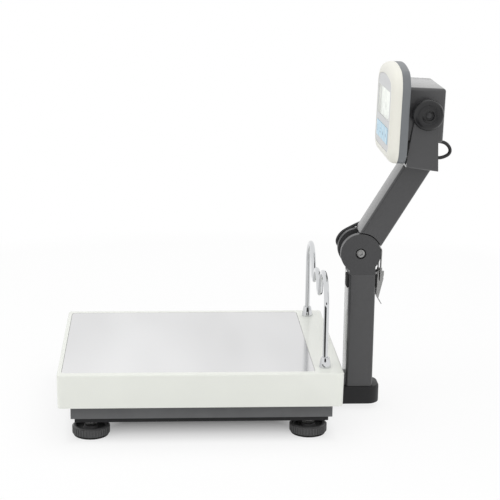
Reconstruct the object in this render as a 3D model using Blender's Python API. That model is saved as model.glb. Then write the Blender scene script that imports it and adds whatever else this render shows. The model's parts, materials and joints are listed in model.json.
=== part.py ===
"""Bench platform scale with a folding display column.

Frame: metres, Z up, floor at Z = 0. X is the width, the operator stands at -Y and the column is at +Y.
Sizes below are in millimetres and are turned into metres when a mesh is made.
"""

import math

import bmesh
import bpy
from mathutils import Matrix, Vector

MM = 0.001
CLEAR = 0.3
RUNNING = 0.05
UP = Vector((0.0, 0.0, 1.0))
SIDES = ((-1, "left"), (1, "right"))

# Deck
DECK_W = 300.0
DECK_D = 380.0
DECK_TOP = 96.0
SKIRT_H = 46.5
SKIRT_DRAFT = 0.7
SHEET = 1.5
DECK_CORNER = 5.0
DECK_EDGE = 2.0
PLATE_RIM_SIDE = 10.0
PLATE_RIM_FRONT = 6.0
PLATE_RIM_REAR = 38.0
PLATE_T = 1.2
RECESS = 1.5
PLATE_FLOOR = DECK_TOP - RECESS
RECESS_UNDER = PLATE_FLOOR - SHEET
BAND_UNDER = DECK_TOP - SHEET

# Guard rail
WIRE_R = 3.5
RAIL_X = DECK_W / 2 - 28
RAIL_Y = DECK_D / 2 - 23
RAIL_HIGH = 120.0
RAIL_MIDDLE = 102.0
RAIL_DIP = 79.0
ARCH_R = 38.0
DIP_R = 12.0
FERRULE_R = 8.2
FERRULE_TOP_R = 5.7
FERRULE_H = 14.0
STUB_R = 3.0

# Base
BASE_W = DECK_W - 26
BASE_D = DECK_D - 30
BASE_Y = 2.0
BASE_BOTTOM = 30.5
BASE_TOP = 62.0
WALL = 3.0
FLANGE = 25.0
BEAM_T = 6.0
BEAM_TOP = BASE_BOTTOM + WALL + BEAM_T
TRAY_INSET = 4.0
TRAY_BOTTOM = 24.0
FOOT_X = BASE_W / 2 - 25
FOOT_Y = BASE_D / 2 - 28
PAD_X = DECK_W / 2 - 40
PAD_Y = DECK_D / 2 - 55

# Load cell and pan support
CELL_W = 30.0
CELL_L = 130.0
CELL_H = 22.0
CELL_BOTTOM = 45.0
CELL_TOP = CELL_BOTTOM + CELL_H
CELL_END = 45.0
CELL_PAD = 5.0
SUPPORT_BOTTOM = CELL_TOP + CELL_PAD
SUPPORT_T = 4.0
SUPPORT_TOP = 89.5
BOLT_R = 3.0

# Feet
WHEEL_R = 25.5
WHEEL_BOTTOM = 2.5
WHEEL_H = 12.0
SOLE_R = 23.5
STUD_R = 5.0
STUD_TOP = 52.0

# Column
TUBE_W = 45.0
COLUMN_D = 38.0
COLUMN_Y = DECK_D / 2 + 38
COLUMN_BOTTOM = 14.0
COLUMN_TOP = 197.0
GROMMET_Z = COLUMN_TOP - 47
BOOT_FRONT = COLUMN_Y - 35
BOOT_BACK = COLUMN_Y + 30
BOOT_HALF = 26.0
TUBE_WALL = 3.0
TUBE_CORNER = 3.5
BRACKET_TOP = 45.0
BRACKET_BOTTOM = 31.0
SPIGOT_TOP = 80.0

# The row's origin is under the middle of the whole box, which lies this far behind the deck's middle
ORIGIN_Y = (COLUMN_Y + 122 - DECK_D / 2) / 2

# Fold joint
PIVOT = Vector((0.0, COLUMN_Y - 3, COLUMN_TOP + 30))
CHEEK_R = 28.0
CHEEK_IN = 12.5
TONGUE_HALF = 12.0
TONGUE_R = 18.5
SHOULDER_TOP = 201.0
PIVOT_R = 4.0

# Upper arm, measured along its own axis (s) and square to it (p)
LEAN = math.radians(31.0)
ARM_D = 36.0
ARM_OFFSET = 1.0
ARM_START = 8.0
ARM_END = 190.0
ARM_CUT_R = 29.5
ARM_PLUG_START = 32.0
ARM_PLUG_END = 60.0
ARM_GROMMET_S = 70.0
ARM_CAP_START = 118.0
KEEPER_RIVETS = (30.0, 40.0)

# Yoke
YOKE_HALF = 62.0
YOKE_T = 3.0
YOKE_FRONT = PIVOT.y + 52
YOKE_REAR = PIVOT.y + 95.6
YOKE_FRONT_Z = 356.4
YOKE_SLOPE = -0.135
TILT_AXIS = Vector((0.0, PIVOT.y + 77.5, 429.0))
YOKE_HEAD_R = 15.0

# Display head, measured from the tilt axis before it leans back
LEAN_BACK = math.radians(1.45)
HEAD_HALF = 70.0
HEAD_TOP = 61.0
HEAD_BOTTOM = -70.0
HEAD_CORNER = 22.0
FACE_Y = -49.6
SEAM_Y = -36.1
FRAME_BACK = -25.0
SHELL = 2.5
FACE_HALF = 58.0
FACE_TOP = 45.0
FACE_BOTTOM = -55.0
FACE_CORNER = 9.0
FACE_T = 1.6
LCD_HALF = 50.0
LCD_TOP = 26.0
LCD_BOTTOM = -14.0
KEY_COUNT = 4
KEY_PITCH = 24.0
KEY_W = 21.5
KEY_TOP = -24.0
KEY_BOTTOM = -45.5
KEY_PROUD = 0.9
HOUSING_HALF = 57.0
HOUSING_TOP = 34.5
HOUSING_BOTTOM = -40.0
HOUSING_BACK = 25.0
HOUSING_ROUND = 6.0
BOARD_BACK = -36.2
BOARD_T = 1.6
GLAND_Y = 15.0
PACK_HALF = 37.0
PACK_FRONT = 6.0
PACK_BOTTOM = -27.0
PACK_TOP = 24.0
KNOB_R = 21.0
KNOB_H = 17.0

# Toggle latch at the back of the joint
LEVER_PIN = Vector((0.0, COLUMN_Y + 28.5, COLUMN_TOP - 1.5))
BAIL_PIN = LEVER_PIN + Vector((0.0, -2.0, -9.5))
BAIL_TOP = Vector((0.0, COLUMN_Y + 27.4, PIVOT.z + 2.7))
BAIL_R = 1.2
BAIL_HALF = 11.2
EAR_OUT = 7.5
LEVER_IN = 8.0
LEVER_OUT = 9.2
LATCH_PIN_R = 2.0

# Cable
CABLE_R = 2.4
CABLE_X = -27.5
GROMMET_R = 5.0


def clear_scene():
    """Remove whatever the scene holds."""
    for old in list(bpy.data.objects):
        bpy.data.objects.remove(old, do_unlink=True)


def material(name, colour, metallic=0.0, roughness=0.5):
    """Return the named Principled material, making it the first time."""
    found = bpy.data.materials.get(name)
    if found:
        return found
    made = bpy.data.materials.new(name)
    made.use_nodes = True
    shader = made.node_tree.nodes["Principled BSDF"]
    shader.inputs["Base Color"].default_value = (*colour, 1.0)
    shader.inputs["Metallic"].default_value = metallic
    shader.inputs["Roughness"].default_value = roughness
    return made


def paint():
    return material("deck_paint", (0.72, 0.75, 0.69), 0.0, 0.4)


def stainless():
    return material("stainless", (0.62, 0.62, 0.62), 1.0, 0.3)


def chrome():
    return material("chrome", (0.8, 0.8, 0.8), 1.0, 0.08)


def dark_paint():
    return material("dark_paint", (0.08, 0.08, 0.085), 0.0, 0.4)


def black_plastic():
    return material("black_plastic", (0.02, 0.02, 0.02), 0.0, 0.5)


def rubber():
    return material("rubber", (0.015, 0.015, 0.015), 0.0, 0.8)


def steel():
    return material("zinc_steel", (0.55, 0.56, 0.57), 1.0, 0.35)


def aluminium():
    return material("aluminium", (0.6, 0.6, 0.61), 1.0, 0.4)


def cream():
    return material("cream_plastic", (0.8, 0.79, 0.7), 0.0, 0.45)


def grey_plastic():
    return material("grey_plastic", (0.2, 0.21, 0.22), 0.0, 0.5)


def make(name, bm, look, smooth=False):
    """Turn a bmesh that holds millimetres into an object in metres."""
    bmesh.ops.remove_doubles(bm, verts=bm.verts, dist=1e-5)
    bmesh.ops.recalc_face_normals(bm, faces=bm.faces)
    bmesh.ops.scale(bm, vec=(MM, MM, MM), verts=bm.verts)
    mesh = bpy.data.meshes.new(name)
    bm.to_mesh(mesh)
    bm.free()
    mesh.materials.append(look)
    for face in mesh.polygons:
        face.use_smooth = smooth
    made = bpy.data.objects.new(name, mesh)
    bpy.context.scene.collection.objects.link(made)
    return made


def combine(target, tool, operation):
    """Add an exact Boolean to target and hide the tool."""
    tool.hide_render = True
    tool.display_type = "WIRE"
    tool.parent = target
    step = target.modifiers.new(tool.name, "BOOLEAN")
    step.operation = operation
    step.solver = "EXACT"
    step.object = tool
    return target


def cut(target, *tools):
    for tool in tools:
        combine(target, tool, "DIFFERENCE")
    return target


def weld(target, *tools):
    for tool in tools:
        combine(target, tool, "UNION")
    return target


def add_box(bm, x, y, z):
    """Add a box given as (low, high) pairs."""
    corners = [bm.verts.new((a, b, c)) for a in x for b in y for c in z]
    for quad in ((0, 1, 3, 2), (4, 6, 7, 5), (0, 4, 5, 1), (2, 3, 7, 6), (0, 2, 6, 4), (1, 5, 7, 3)):
        bm.faces.new([corners[i] for i in quad])


def box(name, x, y, z, look=None, bevel=0.0):
    bm = bmesh.new()
    add_box(bm, x, y, z)
    if bevel:
        bmesh.ops.recalc_face_normals(bm, faces=bm.faces)
        bmesh.ops.bevel(bm, geom=bm.edges[:], offset=bevel, segments=2, profile=0.5, affect="EDGES", material=-1)
    return make(name, bm, look or dark_paint())


def half(size, middle=0.0):
    """Return the low and high ends of a size about its middle."""
    return (middle - size / 2, middle + size / 2)


def loft(bm, rings):
    """Skin a list of rings that have equal point counts, and cap both ends."""
    made = [[bm.verts.new(p) for p in ring] for ring in rings]
    count = len(made[0])
    for low, high in zip(made, made[1:]):
        for i in range(count):
            j = (i + 1) % count
            bm.faces.new((low[i], low[j], high[j], high[i]))
    bm.faces.new(list(reversed(made[0])))
    bm.faces.new(made[-1])


def round_rect(half_x, half_y, corner, steps=5):
    """Points of a rounded rectangle about the origin, anticlockwise."""
    corner = min(corner, half_x - 0.01, half_y - 0.01)
    points = []
    for k, (sx, sy) in enumerate(((1, 1), (-1, 1), (-1, -1), (1, -1))):
        for i in range(steps + 1):
            a = math.pi / 2 * (k + i / steps)
            u = sx * (half_x - corner) + corner * math.cos(a)
            v = sy * (half_y - corner) + corner * math.sin(a)
            points.append((u, v))
    return points


def plate_z(name, half_x, y, corner, levels, look, steps=3):
    """A rounded-rectangle body whose levels are (z, inset) pairs."""
    middle = sum(y) / 2
    half_y = (y[1] - y[0]) / 2
    bm = bmesh.new()
    rings = []
    for z, inset in levels:
        outline = round_rect(half_x - inset, half_y - inset, max(corner - inset, 0.3), steps)
        rings.append([(u, middle + v, z) for u, v in outline])
    loft(bm, rings)
    return make(name, bm, look)


def circle(radius, count, turn=0.0):
    return [(radius * math.cos(2 * math.pi * i / count + turn), radius * math.sin(2 * math.pi * i / count + turn))
            for i in range(count)]


def add_lathe(bm, centre, axis, profile, count=24, turn=0.0):
    """Add a solid of revolution: profile is (distance along the axis, radius) pairs."""
    axis = axis.normalized()
    side = UP if abs(axis.z) < 0.9 else Vector((0, 1, 0))
    u = side.cross(axis).normalized()
    v = axis.cross(u)
    rings = []
    for along, radius in profile:
        rings.append([centre + axis * along + u * a + v * b for a, b in circle(radius, count, turn)])
    loft(bm, rings)


def lathe(name, centre, axis, profile, look=None, count=24, turn=0.0, smooth=False):
    bm = bmesh.new()
    add_lathe(bm, Vector(centre), Vector(axis), profile, count, turn)
    return make(name, bm, look or steel(), smooth)


def rod(name, centre, axis, length, radius, look=None, count=24):
    """A plain cylinder that starts at centre and runs along axis."""
    return lathe(name, centre, axis, ((0, radius), (length, radius)), look, count)


def side_plate(bm, outline, x):
    """Add a flat body: an outline of (y, z) points carried across X."""
    loft(bm, [[(at, y, z) for y, z in outline] for at in x])


def slab(name, outline, x, look=None, smooth=False):
    bm = bmesh.new()
    side_plate(bm, outline, x)
    return make(name, bm, look or dark_paint(), smooth)


def add_sweep(bm, path, radius, count=12):
    """Add a round wire along a list of points, with square-cut ends."""
    path = [Vector(p) for p in path]
    tangents = []
    for i in range(len(path)):
        ahead = path[min(i + 1, len(path) - 1)]
        behind = path[max(i - 1, 0)]
        tangents.append((ahead - behind).normalized())
    first = tangents[0]
    normal = first.orthogonal().normalized()
    rings = []
    for i, (point, tangent) in enumerate(zip(path, tangents)):
        if i:
            normal = tangents[i - 1].rotation_difference(tangent) @ normal
        other = tangent.cross(normal)
        rings.append([point + normal * a + other * b for a, b in circle(radius, count)])
    loft(bm, rings)


def sweep(name, path, radius, look, count=12):
    bm = bmesh.new()
    add_sweep(bm, path, radius, count)
    return make(name, bm, look, smooth=True)


def arc(centre, u, v, radius, start, end, steps):
    """Points of an arc in the plane of the unit vectors u and v, angles in degrees."""
    points = []
    for i in range(steps + 1):
        a = math.radians(start + (end - start) * i / steps)
        points.append(centre + u * (radius * math.cos(a)) + v * (radius * math.sin(a)))
    return points


def rounded_path(corners, radius, steps=5):
    """Join straight runs with arcs: each inner corner is rounded to the given radius."""
    corners = [Vector(c) for c in corners]
    points = [corners[0]]
    for before, here, after in zip(corners, corners[1:], corners[2:]):
        a = (before - here).normalized()
        b = (after - here).normalized()
        angle = a.angle(b)
        reach = min(radius / math.tan(angle / 2), (before - here).length * 0.49, (after - here).length * 0.49)
        bend = reach * math.tan(angle / 2)
        centre = here + (a + b).normalized() * (bend / math.sin(angle / 2))
        start = here + a * reach - centre
        end = here + b * reach - centre
        for i in range(steps + 1):
            points.append(centre + start.normalized().slerp(end.normalized(), i / steps) * start.length)
    points.append(corners[-1])
    return points


def hex_nut(name, seat, axis, height, flats, bore_r):
    """Hexagon nut that starts at seat and runs along axis."""
    axis = Vector(axis)
    corner = flats / math.sqrt(3)
    body = lathe(name, seat, axis, ((0, corner), (height, corner)), steel(), 6)
    return cut(body, rod("cut_" + name, Vector(seat) - axis, axis, height + 2, bore_r + RUNNING))


def arm_point(s, p, x=0.0):
    """Place of a point at s along the arm and p behind its axis line."""
    y = PIVOT.y + s * math.sin(LEAN) + p * math.cos(LEAN)
    z = PIVOT.z + s * math.cos(LEAN) - p * math.sin(LEAN)
    return Vector((x, y, z))


def lean_arm(made):
    """Carry a body built at the origin, upright, onto the leaning arm."""
    place = Matrix.Translation(PIVOT * MM) @ Matrix.Rotation(-LEAN, 4, "X")
    made.data.transform(place)
    return made


def lean_head(made):
    """Carry a body built about the tilt axis onto its place, leaning back."""
    place = Matrix.Translation(TILT_AXIS * MM) @ Matrix.Rotation(-LEAN_BACK, 4, "X")
    made.data.transform(place)
    return made


def head_point(x, y, z):
    """Place of a point measured from the tilt axis on the upright display head."""
    return TILT_AXIS + Matrix.Rotation(-LEAN_BACK, 3, "X") @ Vector((x, y, z))


def deck_cover():
    """Pressed lid with a recess for the plate and holes for the guard rail."""
    edge = [(DECK_TOP - DECK_EDGE * (1 - math.sin(a)), DECK_EDGE * (1 - math.cos(a)))
            for a in (0.0, math.radians(30), math.radians(60), math.radians(90))]
    cover = plate_z("deck_cover", DECK_W / 2, half(DECK_D), DECK_CORNER,
                    [(DECK_TOP - SKIRT_H, SKIRT_DRAFT)] + edge, paint())
    inner = plate_z("cut_deck_inside", DECK_W / 2, half(DECK_D), DECK_CORNER,
                    [(DECK_TOP - SKIRT_H - 1, SKIRT_DRAFT + SHEET), (RECESS_UNDER, SHEET)], paint())
    recess = plate_z("cut_plate_recess", DECK_W / 2 - PLATE_RIM_SIDE + CLEAR,
                     (-DECK_D / 2 + PLATE_RIM_FRONT - CLEAR, DECK_D / 2 - PLATE_RIM_REAR + CLEAR), 5.0,
                     [(PLATE_FLOOR, 0.0), (DECK_TOP + 1, 0.0)], paint())
    band = box("cut_band_inside", half(DECK_W - 12), (DECK_D / 2 - PLATE_RIM_REAR + 3, DECK_D / 2 - 6),
               (RECESS_UNDER - 2, BAND_UNDER))
    holes = bmesh.new()
    for side in (-1, 1):
        add_lathe(holes, Vector((side * RAIL_X, RAIL_Y, BAND_UNDER - 2)), UP,
                  ((0, STUB_R + RUNNING), (6, STUB_R + RUNNING)))
    cut(cover, inner, recess, band, make("cut_rail_holes", holes, paint()))
    return cover


def deck_plate():
    plate_z("deck_plate", DECK_W / 2 - PLATE_RIM_SIDE,
            (-DECK_D / 2 + PLATE_RIM_FRONT, DECK_D / 2 - PLATE_RIM_REAR), 4.7,
            [(PLATE_FLOOR, 0.0), (PLATE_FLOOR + PLATE_T - 0.3, 0.0), (PLATE_FLOOR + PLATE_T, 0.3)], stainless())


def rail_path():
    """Centre line of the guard rail: two high arches, two dips and a middle hump, each tangent to the next."""
    across = Vector((1, 0, 0))
    base = Vector((0, RAIL_Y, DECK_TOP))
    arch = base + Vector((RAIL_X - ARCH_R, 0, RAIL_HIGH - ARCH_R))
    dip_z = DECK_TOP + RAIL_DIP + DIP_R
    dip = Vector((arch.x - math.sqrt((ARCH_R + DIP_R) ** 2 - (dip_z - arch.z) ** 2), RAIL_Y, dip_z))
    rise = DECK_TOP + RAIL_MIDDLE - dip_z
    hump_r = (dip.x ** 2 + rise ** 2 - DIP_R ** 2) / (2 * (rise + DIP_R))
    hump = base + Vector((0, 0, RAIL_MIDDLE - hump_r))
    arch_end = math.degrees(math.atan2(dip.z - arch.z, dip.x - arch.x))
    hump_start = math.degrees(math.atan2(dip.z - hump.z, dip.x - hump.x))
    points = [base + Vector((RAIL_X, 0, 0))]
    points += arc(arch, across, UP, ARCH_R, 0, arch_end, 9)[:-1]
    points += arc(dip, across, UP, DIP_R, arch_end - 180, hump_start - 180, 6)[:-1]
    points += arc(hump, across, UP, hump_r, hump_start, 90, 4)
    mirrored = [Vector((-p.x, p.y, p.z)) for p in reversed(points[:-1])]
    return points + mirrored


def guard_rail():
    """Chromed wire rail with a ferrule on each leg and a nut under the deck."""
    rail = sweep("guard_rail", rail_path(), WIRE_R, chrome(), 8)
    stubs = bmesh.new()
    for side, label in SIDES:
        seat = Vector((side * RAIL_X, RAIL_Y, DECK_TOP))
        add_lathe(stubs, seat - 12 * UP, UP, ((0, STUB_R), (16, STUB_R)))
        ferrule = lathe("rail_ferrule_" + label, seat, UP,
                        ((0, FERRULE_R - 0.5), (0.6, FERRULE_R), (FERRULE_H - 1.2, FERRULE_TOP_R + 0.3),
                         (FERRULE_H, FERRULE_TOP_R - 0.6)), chrome(), 24, smooth=True)
        cut(ferrule, rod("cut_ferrule_" + label, seat - UP, UP, FERRULE_H + 2, WIRE_R + RUNNING))
        hex_nut("rail_nut_" + label, seat + (BAND_UNDER - DECK_TOP - 5.05) * UP, UP, 5.0, 10.0, STUB_R)
    weld(rail, make("join_rail_stubs", stubs, chrome()))


def foot_places():
    """The four corners with their names."""
    for y, end in ((-FOOT_Y, "front"), (FOOT_Y, "rear")):
        for x, side in ((-FOOT_X, "left"), (FOOT_X, "right")):
            yield end + "_" + side, x, y


def base_frame():
    """Welded ring of channel with cross beams, corner gussets and a cable hole at the back."""
    y = half(BASE_D, BASE_Y)
    frame = box("base_frame", half(BASE_W), y, (BASE_BOTTOM, BASE_TOP))
    inside = box("cut_base_inside", half(BASE_W - 2 * WALL), (y[0] + WALL, y[1] - WALL),
                 (BASE_BOTTOM + WALL, BASE_TOP + 2))
    bottom = box("cut_base_bottom", half(BASE_W - 2 * FLANGE), (y[0] + FLANGE, y[1] - FLANGE),
                 (BASE_BOTTOM - 2, BASE_TOP))
    cut(frame, inside, bottom)
    beams = bmesh.new()
    reach = half(BASE_W - 2 * WALL + 1)
    add_box(beams, reach, half(60, CELL_END), (BASE_BOTTOM + 1, BEAM_TOP))
    add_box(beams, reach, half(26, -CELL_END - 35), (BASE_BOTTOM + 1, BEAM_TOP))
    for _, x, fy in foot_places():
        side = math.copysign(1, x)
        end = math.copysign(1, fy)
        xs = sorted((side * (FOOT_X - 22), side * (BASE_W / 2 - WALL + 1)))
        ys = sorted((end * (FOOT_Y - 20), BASE_Y + end * (BASE_D / 2 - WALL + 1)))
        add_box(beams, xs, ys, (BASE_BOTTOM + 1, BASE_BOTTOM + 8))
    pad = box("join_base_pad", half(CELL_W), half(30, CELL_END), (BEAM_TOP - 2, CELL_BOTTOM))
    weld(frame, make("join_base_beams", beams, dark_paint()), pad)
    holes = bmesh.new()
    for _, x, fy in foot_places():
        add_lathe(holes, Vector((x, fy, BASE_BOTTOM - 2)), UP, ((0, STUD_R + RUNNING), (14, STUD_R + RUNNING)))
    for sy in cell_bolt_rows(CELL_END):
        add_lathe(holes, Vector((0, sy, BASE_BOTTOM - 2)), UP, ((0, BOLT_R + RUNNING), (20, BOLT_R + RUNNING)), 12)
    add_box(holes, (-12, 12), (y[1] - 5, y[1] + 2), (BRACKET_BOTTOM + 4, BRACKET_TOP - 3))
    cut(frame, make("cut_base_holes", holes, dark_paint()))


def base_tray():
    """Black bottom tray that closes the frame from below."""
    half_x = BASE_W / 2 - TRAY_INSET
    y = half(BASE_D - 2 * TRAY_INSET - 2, BASE_Y)
    tray = box("base_tray", (-half_x, half_x), y, (TRAY_BOTTOM, BASE_BOTTOM - 0.05), black_plastic())
    inside = box("cut_tray_inside", (-half_x + 2, half_x - 2), (y[0] + 2, y[1] - 2),
                 (TRAY_BOTTOM + 1.5, BASE_BOTTOM + 2))
    holes = bmesh.new()
    for _, x, fy in foot_places():
        add_lathe(holes, Vector((x, fy, TRAY_BOTTOM - 2)), UP, ((0, STUD_R + 0.5), (6, STUD_R + 0.5)), 12)
    cut(tray, inside, make("cut_tray_holes", holes, black_plastic()))


def cell_bolt_rows(end):
    """Y places of the two bolts at one end of the load cell."""
    return (end - 7.5, end + 7.5)


def load_cell():
    """Single-point bending beam with the usual two-hole window through it."""
    beam = box("load_cell", half(CELL_W), half(CELL_L), (CELL_BOTTOM, CELL_TOP), aluminium(), 0.6)
    middle = CELL_BOTTOM + CELL_H / 2
    window = bmesh.new()
    for y in (-15, 15):
        add_lathe(window, Vector((-CELL_W, y, middle)), Vector((1, 0, 0)), ((0, 8.0), (2 * CELL_W, 8.0)), 16)
    cut(beam, make("cut_cell_window", window, aluminium()),
        box("cut_cell_slot", half(2 * CELL_W), half(30), half(5, middle)))
    bores = bmesh.new()
    for rows, low in ((cell_bolt_rows(CELL_END), CELL_BOTTOM - 1), (cell_bolt_rows(-CELL_END), CELL_TOP - 13)):
        for y in rows:
            add_lathe(bores, Vector((0, y, low)), UP, ((0, BOLT_R + RUNNING), (14, BOLT_R + RUNNING)), 12)
    cut(beam, make("cut_cell_bores", bores, aluminium()))


def socket_screw(bm, head_face, axis, grip, shank_r, head_r, head_h):
    """Cap screw whose head sits behind head_face and whose shank runs along axis."""
    axis = Vector(axis)
    add_lathe(bm, Vector(head_face) - axis * head_h, axis,
              ((0, head_r - 0.5), (0.5, head_r), (head_h, head_r), (head_h, shank_r), (head_h + grip, shank_r)), 12)


def load_cell_bolts():
    """Two bolts up through the frame at the rear, two down through the pan support at the front."""
    number = 0
    for rows, head_face, axis, grip, head_h in (
            (cell_bolt_rows(CELL_END), BASE_BOTTOM + 1, UP, CELL_BOTTOM - BASE_BOTTOM + 10, 4.0),
            (cell_bolt_rows(-CELL_END), SUPPORT_BOTTOM + SUPPORT_T, -UP, CELL_PAD + SUPPORT_T + 11, 6.0)):
        for y in rows:
            number += 1
            bm = bmesh.new()
            socket_screw(bm, (0, y, head_face), axis, grip, BOLT_R, 5.0, head_h)
            make("load_cell_bolt_" + str(number), bm, steel())


def pan_support():
    """Bridge on the live end of the load cell: a centre plate and two rails with the pads' seats."""
    bm = bmesh.new()
    add_box(bm, half(2 * PAD_X + 20), half(140, -15), (SUPPORT_BOTTOM, SUPPORT_BOTTOM + SUPPORT_T))
    bridge = make("pan_support", bm, dark_paint())
    for side, label in SIDES:
        rail = box("join_support_rail_" + label, half(20, side * PAD_X), half(2 * PAD_Y + 24),
                   (SUPPORT_BOTTOM + 2, SUPPORT_TOP))
        weld(bridge, rail)
    weld(bridge, box("join_support_pad", half(CELL_W), half(30, -CELL_END), (CELL_TOP, SUPPORT_BOTTOM + 2)))
    bores = bmesh.new()
    for y in cell_bolt_rows(-CELL_END):
        add_lathe(bores, Vector((0, y, CELL_TOP - 1)), UP,
                  ((0, BOLT_R + RUNNING), (CELL_PAD + SUPPORT_T + 2, BOLT_R + RUNNING)), 12)
    grooves = bmesh.new()
    for side in (-1, 1):
        add_box(grooves, half(14, side * PAD_X), half(2 * PAD_Y - 20), (SUPPORT_BOTTOM + SUPPORT_T + 1, SUPPORT_TOP + 2))
    cut(bridge, make("cut_support_bores", bores, dark_paint()), make("cut_support_grooves", grooves, dark_paint()))


def pan_strips():
    """Rubber strip along each rail of the pan support, under the deck's lid."""
    for side, label in SIDES:
        box("pan_strip_" + label, half(18, side * PAD_X), half(2 * PAD_Y + 18), (SUPPORT_TOP, RECESS_UNDER - RUNNING),
            rubber())


def foot(label, x, y):
    """Levelling foot: a fixed sole, and a wheel with its stud that screws the corner up or down."""
    sole = lathe("foot_" + label + "_sole", (x, y, 0), UP,
                 ((0, SOLE_R - 1), (1, SOLE_R), (WHEEL_BOTTOM - RUNNING, SOLE_R)), rubber(), 20)
    weld(sole, rod("join_sole_" + label, (x, y, 1), UP, 5.0, 3.5))
    rim = ((0, WHEEL_R - 0.5), (WHEEL_H - 1.0, WHEEL_R), (WHEEL_H, WHEEL_R - 1))
    wheel = lathe("foot_" + label + "_wheel", (x, y, WHEEL_BOTTOM), UP, rim, black_plastic(), 32)
    dish = rod("cut_wheel_dish_" + label, (x, y, WHEEL_BOTTOM + WHEEL_H - 4), UP, 6, 20)
    hub = rod("join_wheel_hub_" + label, (x, y, WHEEL_BOTTOM + 6), UP, WHEEL_H - 6.5, 10.0, None, 12)
    stud = rod("join_wheel_stud_" + label, (x, y, WHEEL_BOTTOM + 7), UP, STUD_TOP - WHEEL_BOTTOM - 7, STUD_R)
    socket = rod("cut_wheel_socket_" + label, (x, y, WHEEL_BOTTOM - 1), UP, 4.9, 3.5 + RUNNING)
    cut(wheel, dish)
    weld(wheel, hub, stud)
    cut(wheel, socket)


def column_bracket():
    """Hollow bracket that carries the column behind the deck and lets the cable through."""
    rear = BASE_Y + BASE_D / 2
    flange = box("column_bracket", (-46, 46), (rear + RUNNING, rear + 4), (BASE_BOTTOM + 2, 59), dark_paint(), 0.6)
    inner_w = TUBE_W / 2 - TUBE_WALL - CLEAR
    spigot_y = half(COLUMN_D - 2 * TUBE_WALL - 2 * CLEAR, COLUMN_Y)
    arm = box("join_bracket_arm", (-inner_w, inner_w), (rear + 2, COLUMN_Y), (BRACKET_BOTTOM, BRACKET_TOP))
    spigot = box("join_bracket_spigot", (-inner_w, inner_w), spigot_y, (COLUMN_BOTTOM + 1, SPIGOT_TOP))
    weld(flange, arm, spigot)
    passage = box("cut_bracket_passage", (-12, 12), (rear - 2, COLUMN_Y), (BRACKET_BOTTOM + 4, BRACKET_TOP - 3))
    shaft = box("cut_bracket_shaft", (-13, 13), half(20, COLUMN_Y), (COLUMN_BOTTOM + 8, SPIGOT_TOP + 2))
    cut(flange, passage, shaft)


def column_boot():
    """Moulded cover round the foot of the column, rounded at the back."""
    corner = 18.0
    outline = [(BOOT_HALF, BOOT_FRONT), (BOOT_HALF, BOOT_BACK - corner)]
    for degrees in range(15, 91, 15):
        a = math.radians(degrees)
        outline.append((BOOT_HALF - corner * (1 - math.cos(a)), BOOT_BACK - corner * (1 - math.sin(a))))
    outline += [(-x, y) for x, y in reversed(outline)]
    middle = (BOOT_FRONT + BOOT_BACK) / 2
    bm = bmesh.new()
    rings = []
    for z, inset in ((8.0, 1.6), (8.6, 0.5), (10.0, 0.0), (29.5, 0.0), (32.3, 1.0), (33.6, 3.0)):
        scale_x = (BOOT_HALF - inset) / BOOT_HALF
        scale_y = (middle - BOOT_FRONT - inset) / (middle - BOOT_FRONT)
        rings.append([(x * scale_x, middle + (y - middle) * scale_y, z) for x, y in outline])
    loft(bm, rings)
    boot = make("column_boot", bm, black_plastic())
    fit_w = TUBE_W / 2 + CLEAR
    tube_gap = box("cut_boot_tube", (-fit_w, fit_w), half(COLUMN_D + 2 * CLEAR, COLUMN_Y), (10.5, 40))
    arm_gap = box("cut_boot_arm", (-20, 20), (BOOT_FRONT - 13, COLUMN_Y - 10), (BRACKET_BOTTOM - CLEAR, 50))
    cut(boot, tube_gap, arm_gap)


def tube(name, depth, low, high, middle_y, look, place=None):
    """Rounded rectangular tube, open at both ends, built along Z and then carried by place."""
    outer = plate_z(name, TUBE_W / 2, half(depth, middle_y), TUBE_CORNER, [(low, 0.0), (high, 0.0)], look, 4)
    bore = plate_z("cut_" + name + "_bore", TUBE_W / 2 - TUBE_WALL, half(depth - 2 * TUBE_WALL, middle_y), 1.0,
                   [(low - 2, 0.0), (high + 2, 0.0)], look, 2)
    if place:
        place(outer)
        place(bore)
    return cut(outer, bore)


def lower_column():
    column = tube("lower_column", COLUMN_D, COLUMN_BOTTOM, COLUMN_TOP, COLUMN_Y, dark_paint())
    inner_w = TUBE_W / 2 - TUBE_WALL
    notch = box("cut_column_notch", (-inner_w, inner_w), (COLUMN_Y - COLUMN_D, COLUMN_Y - 10), (0, BRACKET_TOP + 0.4))
    entry = rod("cut_column_entry", (-TUBE_W / 2 - 2, COLUMN_Y, GROMMET_Z), (1, 0, 0), 8.0, GROMMET_R - 1 + RUNNING,
                None, 16)
    cut(column, notch, entry)


def eye_outline(radius, neck, reach, offset, up=1, steps=22):
    """A disc about the origin with a square-ended neck; up is -1 for a neck that hangs down."""
    right = offset + neck / 2
    left = offset - neck / 2
    start = -math.acos(right / radius)
    end = math.pi + math.acos(-left / radius)
    points = [(left, reach * up), (right, reach * up)]
    for i in range(steps + 1):
        a = start + (end - start) * i / steps
        points.append((radius * math.cos(a), -up * radius * math.sin(a)))
    return points


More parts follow.
